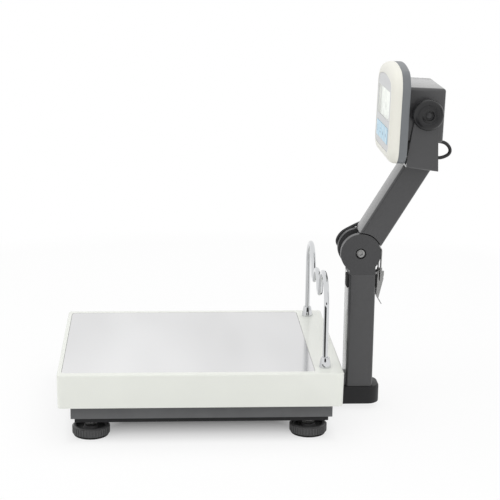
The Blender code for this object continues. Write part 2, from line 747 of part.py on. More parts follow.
def column_hinge():
    """Casting in the top of the column: a plug, a shoulder and two round cheeks."""
    inner_w = TUBE_W / 2 - TUBE_WALL - CLEAR
    plug_y = half(COLUMN_D - 2 * TUBE_WALL - 2 * CLEAR, COLUMN_Y)
    outline = eye_outline(CHEEK_R, COLUMN_D - 2, PIVOT.z - COLUMN_TOP - 0.1, COLUMN_Y - PIVOT.y, -1)
    casting = slab("column_hinge", [(PIVOT.y + y, PIVOT.z + z) for y, z in outline], half(TUBE_W), dark_paint())
    plug = box("join_hinge_plug", (-inner_w, inner_w), plug_y, (COLUMN_TOP - 25, COLUMN_TOP + 2))
    weld(casting, plug)
    gap = box("cut_hinge_gap", (-CHEEK_IN, CHEEK_IN), (PIVOT.y - 40, PIVOT.y + 40), (SHOULDER_TOP, PIVOT.z + 40))
    bore = rod("cut_hinge_bore", PIVOT - Vector((40, 0, 0)), (1, 0, 0), 80, PIVOT_R + RUNNING)
    head_seat = rod("cut_hinge_head", PIVOT + Vector((17.5, 0, 0)), (1, 0, 0), 10, 7.5, None, 16)
    nut_seat = rod("cut_hinge_nut", PIVOT - Vector((16.5, 0, 0)), (-1, 0, 0), 10, 9.0, None, 16)
    cut(casting, gap, bore, head_seat, nut_seat)


def pivot_bolt():
    """Socket bolt through the cheeks and the tongue, and its nut on the left."""
    bolt = lathe("pivot_bolt", PIVOT + Vector((-21.5, 0, 0)), (1, 0, 0),
                 ((0, 3.4), (0.6, PIVOT_R), (39.05, PIVOT_R), (39.05, 6.0), (41.6, 6.0), (42.6, 5.0)), steel(), 24)
    corner = 5.0 / math.sqrt(3)
    cut(bolt, lathe("cut_bolt_socket", PIVOT + Vector((18.9, 0, 0)), (1, 0, 0), ((0, corner), (4, corner)), None, 6))
    hex_nut("pivot_nut", PIVOT + Vector((-21.2, 0, 0)), (1, 0, 0), 4.65, 13.0, PIVOT_R)


def yoke_plane_cutter(name):
    """Everything above the plane that the yoke's base plate lies on."""
    line = [(YOKE_FRONT - 60, yoke_line(YOKE_FRONT - 60)), (YOKE_REAR + 80, yoke_line(YOKE_REAR + 80)),
            (YOKE_REAR + 80, 480), (YOKE_FRONT - 60, 480)]
    return slab(name, [(y, z - RUNNING) for y, z in line], (-60, 60))


def rivet_bores(name, depth):
    """Holes for the keeper's two rivets, from the arm's back face inwards."""
    bores = bmesh.new()
    for s in KEEPER_RIVETS:
        add_lathe(bores, arm_point(s, ARM_OFFSET + ARM_D / 2 - depth), arm_point(s, 1) - arm_point(s, 0),
                  ((0, 1.25), (depth + 3, 1.25)), 12)
    return make(name, bores, dark_paint())


def upper_arm():
    """Leaning tube, scooped at the bottom to clear the joint and cut along the yoke's base at the top."""
    arm = tube("upper_arm", ARM_D, ARM_START, ARM_END, ARM_OFFSET, dark_paint(), lean_arm)
    scoop = rod("cut_arm_scoop", PIVOT - Vector((40, 0, 0)), (1, 0, 0), 80, ARM_CUT_R, None, 64)
    entry = rod("cut_arm_entry", arm_point(ARM_GROMMET_S, ARM_OFFSET, -TUBE_W / 2 - 2), (1, 0, 0), 8,
                GROMMET_R - 1 + RUNNING, None, 16)
    cut(arm, scoop, yoke_plane_cutter("cut_arm_top"), entry, rivet_bores("cut_arm_rivets", 5.0))


def yoke_line(y):
    """Height of the underside of the yoke's base plate."""
    return YOKE_FRONT_Z + YOKE_SLOPE * (y - YOKE_FRONT)


def arm_hinge():
    """Casting in the foot of the arm: a tongue between the column's cheeks and a plug in the tube."""
    inner_p = ARM_D / 2 - TUBE_WALL - CLEAR
    inner_w = TUBE_W / 2 - TUBE_WALL - CLEAR
    outline = eye_outline(TONGUE_R, 2 * inner_p - 1, ARM_PLUG_START + 2, ARM_OFFSET)
    tongue = slab("arm_hinge", outline, (-TONGUE_HALF, TONGUE_HALF), dark_paint())
    plug = box("join_arm_plug", (-inner_w, inner_w), half(2 * inner_p, ARM_OFFSET), (ARM_PLUG_START, ARM_PLUG_END))
    bore = rod("cut_tongue_bore", (-40, 0, 0), (1, 0, 0), 80, PIVOT_R + RUNNING)
    for item in (tongue, plug, bore):
        lean_arm(item)
    weld(tongue, plug)
    cut(tongue, bore, rivet_bores("cut_tongue_rivets", 9.0))


def latch_keeper():
    """Hook plate on the back of the arm that the latch's loop catches, with its two rivets set in it."""
    back = ARM_OFFSET + ARM_D / 2 + RUNNING
    outline = [(back, 12.0), (25.2, 12.0), (25.2, 13.2), (24.4, 14.2), (back + 1.5, 14.2), (back + 1.5, 45.0),
               (back + 0.9, 46.0), (back, 46.0)]
    keeper = slab("latch_keeper", outline, (-7, 7), steel())
    lean_arm(keeper)
    rivets = bmesh.new()
    for s in KEEPER_RIVETS:
        inward = arm_point(s, 0) - arm_point(s, 1)
        add_lathe(rivets, arm_point(s, back + 2.5), inward, ((0, 1.6), (0.4, 2.4), (1.3, 2.6), (1.3, 1.2), (9, 1.2)), 12)
    weld(keeper, make("join_keeper_rivets", rivets, steel()))


def latch_base():
    """Folded steel base on the column, with two ears and the pin that is riveted in them."""
    back = COLUMN_Y + COLUMN_D / 2
    base = box("latch_base", (-EAR_OUT, EAR_OUT), (back + 0.02, back + 1.6), (COLUMN_TOP - 21, COLUMN_TOP - 0.6),
               steel(), 0.3)
    pin = LEVER_PIN.z
    for side, label in SIDES:
        xs = sorted((side * (EAR_OUT - 1.5), side * EAR_OUT))
        ear = slab("join_ear_" + label, [(back + 1, pin - 6), (back + 8, pin - 6), (back + 12, pin - 2.9),
                                         (back + 12, pin + 2.9), (back + 7, pin + 3.3), (back + 1, pin)], xs)
        weld(base, ear)
    bm = bmesh.new()
    add_lathe(bm, LEVER_PIN - Vector((9.7, 0, 0)), Vector((1, 0, 0)),
              ((0, LATCH_PIN_R - 0.4), (0.4, LATCH_PIN_R), (19.0, LATCH_PIN_R), (19.4, LATCH_PIN_R - 0.4)), 18)
    weld(base, make("join_latch_pin", bm, steel()))


def from_pin(outline):
    """Carry an outline measured from the lever's pin to its place."""
    return [(LEVER_PIN.y + y, LEVER_PIN.z + z) for y, z in outline]


def latch_lever():
    """Pressed over-centre lever: two cheeks, a web that stops short of the ears and a turned-out tip."""
    web = [(1.95, -7.0), (3.48, -7.0), (-3.1, -36.0), (1.9, -44.3), (0.9, -44.9), (-4.8, -35.8)]
    cheek_outline = [(-3.9, 4.1), (3.7, 3.5), (3.7, -2.3), (-3.9, -35.5), (-5.9, -34.5), (-5.9, -13.5)]
    lever = slab("latch_lever", from_pin(web), (-LEVER_OUT, LEVER_OUT), steel())
    for side, label in SIDES:
        xs = sorted((side * LEVER_IN, side * LEVER_OUT))
        weld(lever, slab("join_lever_" + label, from_pin(cheek_outline), xs))
    pin = rod("cut_lever_pin", LEVER_PIN - Vector((30, 0, 0)), (1, 0, 0), 60, LATCH_PIN_R + RUNNING)
    bail = rod("cut_lever_bail", BAIL_PIN - Vector((30, 0, 0)), (1, 0, 0), 60, BAIL_R + RUNNING, None, 12)
    cut(lever, pin, bail)


def latch_bail():
    """Wire loop that hangs on the lever and hooks over the keeper."""
    inner = LEVER_IN - 0.2
    rise = BAIL_TOP - BAIL_PIN
    corners = [BAIL_PIN + Vector((-inner, 0, 0)), BAIL_PIN + Vector((-BAIL_HALF, 0, 0)),
               BAIL_PIN + Vector((-BAIL_HALF, rise.y, rise.z)), BAIL_PIN + Vector((BAIL_HALF, rise.y, rise.z)),
               BAIL_PIN + Vector((BAIL_HALF, 0, 0)), BAIL_PIN + Vector((inner, 0, 0))]
    sweep("latch_bail", rounded_path(corners, 1.9, 4), BAIL_R, steel(), 8)


def arm_cap():
    """Block in the top of the arm that the yoke is screwed to, bored for the cable."""
    inner_p = ARM_D / 2 - TUBE_WALL - CLEAR
    inner_w = TUBE_W / 2 - TUBE_WALL - CLEAR
    cap = box("arm_cap", (-inner_w, inner_w), half(2 * inner_p, ARM_OFFSET), (ARM_CAP_START, ARM_END), dark_paint())
    lean_arm(cap)
    bore = rod("cut_cap_bore", arm_point(100, ARM_OFFSET), arm_point(1, 0) - arm_point(0, 0), 100, 8.0)
    cut(cap, yoke_plane_cutter("cut_cap_top"), bore)


def yoke_up():
    """Direction square to the yoke's base plate."""
    return Vector((0, -YOKE_SLOPE, 1)).normalized()


def yoke_hole():
    """Place of the cable's hole on the underside of the yoke's base plate."""
    return Vector((0, TILT_AXIS.y, yoke_line(TILT_AXIS.y)))


def tangent_angle(point, radius, side):
    """Angle on a circle about the tilt axis where the line from point touches it."""
    away = Vector((point[0] - TILT_AXIS.y, point[1] - TILT_AXIS.z))
    return math.atan2(away.y, away.x) + side * math.acos(radius / away.length)


def yoke():
    """Bent U-bracket: a base plate on the arm and two arms up to the tilt axis."""
    plate = [(YOKE_FRONT, yoke_line(YOKE_FRONT)), (YOKE_REAR, yoke_line(YOKE_REAR)),
             (YOKE_REAR, yoke_line(YOKE_REAR) + YOKE_T), (YOKE_FRONT, yoke_line(YOKE_FRONT) + YOKE_T)]
    bracket = slab("yoke", plate, (-YOKE_HALF, YOKE_HALF), dark_paint())
    front = (YOKE_FRONT + 0.8, 368.0)
    start = tangent_angle((YOKE_REAR, yoke_line(YOKE_REAR)), YOKE_HEAD_R, 1)
    end = tangent_angle(front, YOKE_HEAD_R, -1) + 2 * math.pi
    outline = [front, (YOKE_FRONT, yoke_line(YOKE_FRONT)), (YOKE_REAR, yoke_line(YOKE_REAR))]
    for i in range(19):
        a = start + (end - start) * i / 18
        outline.append((TILT_AXIS.y + YOKE_HEAD_R * math.cos(a), TILT_AXIS.z + YOKE_HEAD_R * math.sin(a)))
    for side, label in SIDES:
        xs = sorted((side * (YOKE_HALF - YOKE_T), side * YOKE_HALF))
        weld(bracket, slab("join_yoke_" + label, outline, xs))
    axis_hole = rod("cut_yoke_axis", TILT_AXIS - Vector((80, 0, 0)), (1, 0, 0), 160, 4.0 + RUNNING)
    cable_hole = rod("cut_yoke_cable", yoke_hole() - 4 * yoke_up(), yoke_up(), 12, GROMMET_R + RUNNING, None, 16)
    cut(bracket, axis_hole, cable_hole)


def grommet(name, centre, axis, wall, radius):
    """Rubber ring through a wall, with a flange on its outer side."""
    centre = Vector(centre)
    axis = Vector(axis)
    ring = lathe(name, centre, axis, ((-wall, radius), (0.02, radius), (0.02, radius + 1.8), (1.4, radius + 1.3)),
                 rubber(), 16)
    cut(ring, rod("cut_" + name, centre - axis * (wall + 2), axis, wall + 6, CABLE_R + RUNNING, None, 16))


def grommets():
    """One on the left of the column, one on the left of the arm and one in the yoke's base."""
    left = Vector((-1, 0, 0))
    grommet("column_grommet", (-TUBE_W / 2, COLUMN_Y, GROMMET_Z), left, TUBE_WALL, GROMMET_R - 1)
    grommet("arm_grommet", arm_point(ARM_GROMMET_S, ARM_OFFSET, -TUBE_W / 2), left, TUBE_WALL, GROMMET_R - 1)
    grommet("yoke_grommet", yoke_hole() + yoke_up() * YOKE_T, yoke_up(), YOKE_T, GROMMET_R)


def head_ring(y, inset):
    """Outline of the display head at a depth, drawn in by inset."""
    middle = (HEAD_TOP + HEAD_BOTTOM) / 2
    half_z = (HEAD_TOP - HEAD_BOTTOM) / 2
    outline = round_rect(HEAD_HALF - inset, half_z - inset, max(HEAD_CORNER - inset * 0.6, 2.0), 5)
    return [(u, y, middle + v) for u, v in outline]


def head_body(name, levels, look, smooth=False):
    bm = bmesh.new()
    loft(bm, [head_ring(y, inset) for y, inset in levels])
    return lean_head(make(name, bm, look, smooth))


def face_block(name, grow, y, look):
    """Rounded block that follows the face plate's outline."""
    middle = (FACE_TOP + FACE_BOTTOM) / 2
    half_z = (FACE_TOP - FACE_BOTTOM) / 2
    bm = bmesh.new()
    outline = round_rect(FACE_HALF + grow, half_z + grow, FACE_CORNER + grow, 4)
    loft(bm, [[(u, at, middle + v) for u, v in outline] for at in y])
    return lean_head(make(name, bm, look))


def head_box(name, x, y, z, look=None, bevel=0.0):
    return lean_head(box(name, x, y, z, look, bevel))


def key_places():
    """Middle X of each key, from left to right."""
    return [(i - (KEY_COUNT - 1) / 2) * KEY_PITCH for i in range(KEY_COUNT)]


def display_bezel():
    """Cream front frame with big soft edges."""
    soft = [(SEAM_Y - 0.05, 0.0), (-40.5, 0.2), (-44.0, 1.4), (-46.6, 3.4), (-48.4, 6.2), (-49.4, 9.2), (-49.9, 11.6)]
    bezel = head_body("display_bezel", soft, cream())
    hollow = head_body("cut_bezel_inside", [(SEAM_Y + 2, SHELL), (-41.0, SHELL + 0.6), (-44.2, SHELL + 6.0)], cream())
    opening = face_block("cut_bezel_opening", CLEAR, (FACE_Y - 10, FACE_Y + FACE_T + 0.4), cream())
    well = face_block("cut_bezel_well", -2.5, (FACE_Y - 10, FACE_Y + 9.6), cream())
    cut(bezel, hollow, opening, well)


def display_frame():
    """Grey rear frame with a flat back, open to the housing behind it."""
    frame = head_body("display_frame", [(SEAM_Y + 0.05, 0.0), (-31.0, 0.1), (FRAME_BACK - 1, 0.7), (FRAME_BACK, 1.6)],
                      grey_plastic())
    hollow = head_body("cut_frame_inside", [(SEAM_Y - 2, SHELL), (FRAME_BACK - SHELL, SHELL + 0.6)], grey_plastic())
    window = head_box("cut_frame_window", half(2 * HOUSING_HALF - 14), (-40, 0),
                      (HOUSING_BOTTOM + 7, HOUSING_TOP - 7))
    cut(frame, hollow, window)
    posts = bmesh.new()
    for x, z in board_post_places():
        back = FRAME_BACK - SHELL + 1
        seat = back - BOARD_BACK
        add_lathe(posts, Vector((x, back, z)), Vector((0, -1, 0)),
                  ((0, 3.5), (seat - RUNNING, 3.5), (seat - RUNNING, 1.5), (seat + 3.0, 1.4)), 8)
    weld(frame, lean_head(make("join_frame_posts", posts, grey_plastic())))


def board_post_places():
    return [(x, z) for x in (-54, 54) for z in (-50.0, 41.0)]


def circuit_board():
    """Board staked on the frame's four posts, with its chips on the back."""
    board = head_box("circuit_board", half(120), (BOARD_BACK - BOARD_T, BOARD_BACK), (-54, 46),
                     material("board_green", (0.03, 0.18, 0.07)))
    bores = bmesh.new()
    for x, z in board_post_places():
        add_lathe(bores, Vector((x, -30, z)), Vector((0, -1, 0)), ((0, 1.5 + RUNNING), (12, 1.5 + RUNNING)), 8)
    chips = bmesh.new()
    add_box(chips, half(34, 10), (BOARD_BACK - 0.5, BOARD_BACK + 2.4), half(16, -38))
    add_box(chips, half(14, -30), (BOARD_BACK - 0.5, BOARD_BACK + 1.8), half(10, 38))
    weld(board, lean_head(make("join_board_chips", chips, black_plastic())))
    cut(board, lean_head(make("cut_board", bores, dark_paint())))


def lcd_panel():
    head_box("lcd_panel", half(2 * LCD_HALF + 6), (-43.6, -37.9), (LCD_BOTTOM - 4, LCD_TOP + 4),
             material("lcd_grey", (0.42, 0.46, 0.4)), 0.5)


def face_plate():
    """Grey front sheet with a window for the display and one hole for each key."""
    plate = face_block("face_plate", 0.0, (FACE_Y, FACE_Y + FACE_T), material("face_grey", (0.5, 0.51, 0.52)))
    window = head_box("cut_face_window", half(2 * LCD_HALF), (-60, -40), (LCD_BOTTOM, LCD_TOP))
    holes = bmesh.new()
    for x in key_places():
        add_box(holes, half(KEY_W + 2 * CLEAR, x), (-60, -40), (KEY_BOTTOM - CLEAR, KEY_TOP + CLEAR))
    cut(plate, window, lean_head(make("cut_face_keys", holes, dark_paint())))
    head_box("lcd_window", half(2 * LCD_HALF - 2 * RUNNING), (FACE_Y + 0.1, FACE_Y + FACE_T),
             (LCD_BOTTOM + RUNNING, LCD_TOP - RUNNING), material("lcd_glass", (0.75, 0.78, 0.72), 0.0, 0.1))


def keys():
    """Push keys with a flange behind the face plate."""
    for number, x in enumerate(key_places(), 1):
        key = head_box("key_" + str(number), half(KEY_W, x), (FACE_Y - KEY_PROUD, -46.8), (KEY_BOTTOM, KEY_TOP),
                       material("key_blue", (0.45, 0.66, 0.8)), 0.5)
        flange = head_box("join_key_flange_" + str(number), half(KEY_W + 1.6, x), (-47.5, -46.5),
                          (KEY_BOTTOM - 0.8, KEY_TOP + 0.8))
        weld(key, flange)


def keypad_mat():
    """Rubber mat that carries the keys in front of the board."""
    mat = head_box("keypad_mat", half(110), (-45.3, -43.9), (KEY_BOTTOM - 3, KEY_TOP + 3), rubber())
    legs = bmesh.new()
    for x in (-53, 53):
        add_box(legs, half(3.0, x), (-44.5, -37.85), (KEY_BOTTOM - 2, KEY_TOP + 2))
    weld(mat, lean_head(make("join_mat_legs", legs, rubber())))


def display_housing():
    """Dark box behind the frame with rounded back edges, side bosses for the knobs and a cable boss."""
    bm = bmesh.new()
    rings = []
    middle = (HOUSING_TOP + HOUSING_BOTTOM) / 2
    half_z = (HOUSING_TOP - HOUSING_BOTTOM) / 2
    levels = [(FRAME_BACK + RUNNING, 0.0), (HOUSING_BACK - HOUSING_ROUND, 0.8)]
    for degrees in (30, 60, 90):
        a = math.radians(degrees)
        levels.append((HOUSING_BACK - HOUSING_ROUND * (1 - math.sin(a)), 0.8 + HOUSING_ROUND * (1 - math.cos(a))))
    for y, inset in levels:
        outline = round_rect(HOUSING_HALF - inset, half_z - inset, max(4.0 - inset * 0.2, 1.0), 4)
        rings.append([(u, y, middle + v) for u, v in outline])
    loft(bm, rings)
    housing = lean_head(make("display_housing", bm, dark_paint()))
    cut(housing, head_box("cut_housing_inside", half(2 * HOUSING_HALF - 7), (-40, HOUSING_BACK - 3.0),
                          (HOUSING_BOTTOM + 3.5, HOUSING_TOP - 3.5)))
    bosses = bmesh.new()
    bores = bmesh.new()
    for side in (-1, 1):
        add_lathe(bosses, Vector((side * (HOUSING_HALF - 1.5), 0, 0)), Vector((-side, 0, 0)), ((0, 9.0), (12, 9.0)), 24)
        add_lathe(bores, Vector((side * (HOUSING_HALF + 8), 0, 0)), Vector((-side, 0, 0)),
                  ((0, 4.0 + RUNNING), (18, 4.0 + RUNNING)), 24)
    weld(housing, lean_head(make("join_housing_bosses", bosses, dark_paint())))
    for side, label in SIDES:
        rib_x = sorted((side * (PACK_HALF + CLEAR), side * (PACK_HALF + 2)))
        weld(housing, head_box("join_pack_rib_" + label, rib_x, (PACK_FRONT, HOUSING_BACK - 2),
                               (PACK_BOTTOM - 1.4, HOUSING_TOP - 3)))
    weld(housing, head_box("join_pack_shelf", half(2 * PACK_HALF + 3), (PACK_FRONT - 1, HOUSING_BACK - 1.5),
                           (PACK_BOTTOM - 2, PACK_BOTTOM)))
    gland = rod("cut_housing_gland", (0, GLAND_Y, HOUSING_BOTTOM + 8), (0, 0, -1), 16, GROMMET_R + RUNNING, None, 16)
    cut(housing, lean_head(make("cut_housing_bores", bores, dark_paint())), lean_head(gland))


def cable_gland():
    gland = lathe("cable_gland", (0, GLAND_Y, HOUSING_BOTTOM), (0, 0, -1),
                  ((-4.5, GROMMET_R), (0.0, GROMMET_R), (0.02, 7.0), (3.0, 6.4), (5.0, 4.4)), black_plastic(), 16)
    lean_head(gland)
    hole = lean_head(rod("cut_gland", (0, GLAND_Y, HOUSING_BOTTOM + 8), (0, 0, -1), 20, CABLE_R + RUNNING, None, 16))
    cut(gland, hole)


def battery_pack():
    """Shrink-wrapped pack of round cells on the housing's shelf."""
    levels = [(PACK_BOTTOM + RUNNING, 0.6), (PACK_BOTTOM + 0.6, 0.0), (PACK_TOP - 0.6, 0.0), (PACK_TOP, 0.6)]
    pack_y = (PACK_FRONT, HOUSING_BACK - 3 - RUNNING)
    lean_head(plate_z("battery_pack", PACK_HALF, pack_y, (pack_y[1] - pack_y[0]) / 2 - 0.1, levels,
                      material("pack_wrap", (0.05, 0.12, 0.3), 0.0, 0.35), 6))


def knob(side, label):
    """Clamping knob with a dished face and its threaded stud."""
    start = YOKE_HALF + 0.2
    profile = [(0.0, 11.5), (3.0, 12.5), (5.2, KNOB_R - 0.6), (7.0, KNOB_R), (13.0, KNOB_R - 1.0),
               (KNOB_H - 1, KNOB_R - 4.5), (KNOB_H, KNOB_R - 9)]
    body = lathe("knob_" + label, TILT_AXIS + Vector((side * start, 0, 0)), (side, 0, 0), profile, black_plastic(), 32)
    recess = lathe("cut_knob_" + label, TILT_AXIS + Vector((side * (start + KNOB_H - 4), 0, 0)), (side, 0, 0),
                   ((0, 6.0), (6, 6.8)), None, 16)
    stud = rod("join_knob_" + label, TILT_AXIS + Vector((side * (start + 4), 0, 0)), (-side, 0, 0),
               start + 4 - (HOUSING_HALF - 9.5), 4.0)
    cut(body, recess)
    weld(body, stud)


def smooth_curve(points, steps=6):
    """Catmull-Rom curve through hand-chosen points, with a straight first and last stretch."""
    points = [Vector(p) for p in points]
    inner = points[1:-1]
    ends = [2 * inner[0] - inner[1]] + inner + [2 * inner[-1] - inner[-2]]
    curve = [points[0]]
    for a, b, c, d in zip(ends, ends[1:], ends[2:], ends[3:]):
        for i in range(steps):
            t = i / steps
            curve.append(0.5 * (2 * b + (c - a) * t + (2 * a - 5 * b + 4 * c - d) * t * t
                                + (3 * b - a - 3 * c + d) * t * t * t))
    return curve + points[-2:]


def cables():
    """The signal cable: a lower half up to the arm's grommet and an upper half from there to the gland."""
    jacket = material("cable_jacket", (0.02, 0.02, 0.022), 0.0, 0.55)
    passage_z = (BRACKET_BOTTOM + BRACKET_TOP + 1) / 2
    cell_z = CELL_BOTTOM + CELL_H / 2
    cell_end = CELL_L / 2
    lower = [(0, cell_end + 0.3, cell_z), (0, cell_end + 5, cell_z), (0, cell_end + 14, cell_z),
             (0, cell_end + 45, passage_z + 2), (0, COLUMN_Y - 78, passage_z),
             (0, COLUMN_Y - 14, passage_z), (0, COLUMN_Y - 3, passage_z + 4), (0, COLUMN_Y, 58), (0, COLUMN_Y, 100),
             (0, COLUMN_Y, GROMMET_Z - 20), (-5, COLUMN_Y, GROMMET_Z - 3), (-16, COLUMN_Y, GROMMET_Z),
             (3.5 - TUBE_W / 2, COLUMN_Y, GROMMET_Z)]
    sweep("signal_cable_lower", smooth_curve(lower + joint_cable_route(), 2), CABLE_R, jacket, 8)
    entry = ARM_GROMMET_S
    inside = [arm_point(entry, ARM_OFFSET, -TUBE_W / 2 - 1.5), arm_point(entry, ARM_OFFSET, 3.5 - TUBE_W / 2),
              arm_point(entry, ARM_OFFSET, -16), arm_point(entry + 6, ARM_OFFSET, -5),
              arm_point(entry + 20, ARM_OFFSET, 0), arm_point(entry + 50, ARM_OFFSET, 0),
              arm_point(entry + 68, ARM_OFFSET, 0)]
    up = yoke_up()
    top = yoke_hole() + up * YOKE_T
    inside += [top - up * 8, top - up * 5]
    sweep("signal_cable_upper", smooth_curve(inside + display_cable_route(), 2), CABLE_R, jacket, 8)


def joint_cable_route():
    """Slack loop past the fold joint, from the column's grommet to the arm's, on the left side."""
    start = Vector((-TUBE_W / 2 - 1.6, COLUMN_Y, GROMMET_Z))
    end = arm_point(ARM_GROMMET_S, ARM_OFFSET, -TUBE_W / 2 - 1.6)
    loop = [(-0.6, 2.6, -74.4), (-1.5, 1, -67), (-2, -4, -49), (-1, -11, -24), (0, -22, -5), (0, -27.5, 7),
            (0, -21, 19), (0, -6, 28), (-1.5, 13, 37), (-2, 29, 49)]
    route = [start, start - Vector((1.5, 0, 0))]
    route += [(CABLE_X + x, PIVOT.y + y, PIVOT.z + z) for x, y, z in loop]
    return route + [end + Vector((-4.4, -3.0, -5.0)), end - Vector((1.5, 0, 0)), end]


def display_cable_route():
    """Slack loop from the yoke's grommet to the gland under the housing, bulging out behind."""
    up = yoke_up()
    start = yoke_hole() + up * (YOKE_T + 1.6)
    end = head_point(0, GLAND_Y, HOUSING_BOTTOM - 5.1)
    loop = [(7.5, -66.6), (19.5, -70), (33.5, -70), (43.5, -65), (45.1, -57.5), (38.5, -50), (27.5, -47.4), (18, -48.8)]
    route = [start, start + up * 1.5] + [(0, TILT_AXIS.y + y, TILT_AXIS.z + z) for y, z in loop]
    return route + [end - Vector((0, 0, 1.4)), end]


def joints():
    """Each moving group: its empty's name, the empty's place, the empty that carries it, and its pieces."""
    yield "deck_lift", Vector((0, 0, SUPPORT_TOP)), None, (
        "deck_cover", "deck_plate", "guard_rail", "rail_ferrule_left", "rail_ferrule_right", "rail_nut_left",
        "rail_nut_right")
    yield "fold_axis", PIVOT, None, (
        "upper_arm", "arm_hinge", "arm_cap", "latch_keeper", "yoke", "arm_grommet", "yoke_grommet",
        "signal_cable_upper")
    yield "tilt_axis", TILT_AXIS, "fold_axis", (
        "display_bezel", "display_frame", "circuit_board", "lcd_panel", "face_plate", "lcd_window", "keypad_mat",
        "display_housing", "cable_gland", "battery_pack")
    for number, x in enumerate(key_places(), 1):
        middle = head_point(x, FACE_Y, (KEY_TOP + KEY_BOTTOM) / 2)
        yield "key_axis_" + str(number), middle, "tilt_axis", ("key_" + str(number),)
    for _, label in SIDES:
        yield "knob_axis_" + label, TILT_AXIS, "tilt_axis", ("knob_" + label,)
    yield "lever_axis", LEVER_PIN, None, ("latch_lever",)
    yield "bail_axis", BAIL_PIN, "lever_axis", ("latch_bail",)
    for label, x, y in foot_places():
        yield "foot_axis_" + label, Vector((x, y, 0)), None, ("foot_" + label + "_sole", "foot_" + label + "_wheel")


def stand(name, place, carrier=None):
    """Add an empty at a place measured from its carrier."""
    empty = bpy.data.objects.new(name, None)
    empty.empty_display_size = 0.02
    empty.location = place * MM
    empty.parent = carrier
    bpy.context.scene.collection.objects.link(empty)
    return empty


def assemble():
    """Parent each moving piece to an empty on its joint's axis, and everything to one root."""
    root = stand("platform_scale", Vector((0, -ORIGIN_Y, 0)))
    stands = {None: root}
    places = {None: Vector((0, 0, 0))}
    for name, place, carrier, pieces in joints():
        stands[name] = stand(name, place - places[carrier], stands[carrier])
        places[name] = place
        for piece in pieces:
            bpy.data.objects[piece].parent = stands[name]
            bpy.data.objects[piece].location = -place * MM
    for piece in bpy.data.objects:
        if piece.parent is None and piece is not root:
            piece.parent = root


def main():
    clear_scene()
    deck_cover()
    deck_plate()
    guard_rail()
    base_frame()
    base_tray()
    load_cell()
    load_cell_bolts()
    pan_support()
    pan_strips()
    for label, x, y in foot_places():
        foot(label, x, y)
    column_bracket()
    column_boot()
    lower_column()
    column_hinge()
    pivot_bolt()
    upper_arm()
    arm_hinge()
    latch_keeper()
    latch_base()
    latch_lever()
    latch_bail()
    arm_cap()
    yoke()
    grommets()
    display_bezel()
    display_frame()
    circuit_board()
    lcd_panel()
    face_plate()
    keys()
    keypad_mat()
    display_housing()
    cable_gland()
    battery_pack()
    for side, label in SIDES:
        knob(side, label)
    cables()
    assemble()


main()
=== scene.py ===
"""Looks of a bench platform scale with a folding display column.

Sizes are in millimetres on the maker's drawing, whose origin lies on the floor under the middle of the deck:
X runs across, the operator stands at -Y and the column is at +Y. A finished piece is brought to metres and
moved by ORIGIN_Y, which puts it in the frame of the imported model.
"""

import json
import logging
import math
from collections.abc import Callable, Iterable, Sequence
from dataclasses import dataclass
from enum import Enum
from functools import cache

import bmesh
import bpy
from mathutils import Matrix, Vector

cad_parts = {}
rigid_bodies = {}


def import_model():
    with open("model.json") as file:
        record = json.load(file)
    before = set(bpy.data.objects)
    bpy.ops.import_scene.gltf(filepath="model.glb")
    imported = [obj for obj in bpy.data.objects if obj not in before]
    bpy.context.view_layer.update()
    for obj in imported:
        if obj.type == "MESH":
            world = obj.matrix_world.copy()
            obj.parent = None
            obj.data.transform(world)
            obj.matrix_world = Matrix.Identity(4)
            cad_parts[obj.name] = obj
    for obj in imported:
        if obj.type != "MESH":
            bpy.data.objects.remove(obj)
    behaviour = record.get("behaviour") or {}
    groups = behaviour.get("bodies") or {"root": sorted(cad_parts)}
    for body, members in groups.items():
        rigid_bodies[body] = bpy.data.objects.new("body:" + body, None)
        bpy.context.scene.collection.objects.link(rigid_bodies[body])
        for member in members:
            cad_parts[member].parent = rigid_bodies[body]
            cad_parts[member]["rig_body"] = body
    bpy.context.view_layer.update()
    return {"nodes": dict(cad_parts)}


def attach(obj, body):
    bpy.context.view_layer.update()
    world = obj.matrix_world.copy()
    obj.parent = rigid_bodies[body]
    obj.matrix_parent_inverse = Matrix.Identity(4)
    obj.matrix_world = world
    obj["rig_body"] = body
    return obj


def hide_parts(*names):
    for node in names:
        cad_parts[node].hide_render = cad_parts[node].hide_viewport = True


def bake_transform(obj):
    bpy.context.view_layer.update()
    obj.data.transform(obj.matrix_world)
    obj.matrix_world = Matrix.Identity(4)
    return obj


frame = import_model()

log = logging.getLogger("platform_scale")

Colour = tuple[float, float, float]
Span = tuple[float, float]
Test = Callable[[bmesh.types.BMEdge], bool]

MM = 0.001
ORIGIN_Y = 80.0
UP = Vector((0.0, 0.0, 1.0))
ACROSS = Vector((1.0, 0.0, 0.0))
REARWARD = Vector((0.0, 1.0, 0.0))

# Lines that several sub-assemblies share
PIVOT = Vector((0.0, 225.0, 227.0))
LEAN = math.radians(31.0)
TILT_AXIS = Vector((0.0, 302.5, 429.0))
LEAN_BACK = math.radians(1.45)
YOKE_FRONT_Z = 356.4
YOKE_FRONT = 277.0
YOKE_SLOPE = -0.135
YOKE_T = 3.0
TUBE_W = 45.0
COLUMN_Y = 228.0
COLUMN_D = 38.0
ARM_OFFSET = 1.0
CABLE_R = 2.4
PIN_HOLE = 4.05
RING_HOLE = 5.05
RING_Z = 150.0
RING_S = 70.0
RING_Y = 302.5
FOOT_X = 112.0
FOOT_Y = 147.0
BOOT_TOP = 33.6
BOOT_BOTTOM = 8.0


class Joining(Enum):
    """How one workpiece is joined to another."""

    CUT = "DIFFERENCE"
    ADD = "UNION"


class Side(Enum):
    """Left and right as the operator sees them."""

    LEFT = -1
    RIGHT = 1

    @property
    def label(self) -> str:
        """The side's word in a piece's name."""
        return self.name.lower()


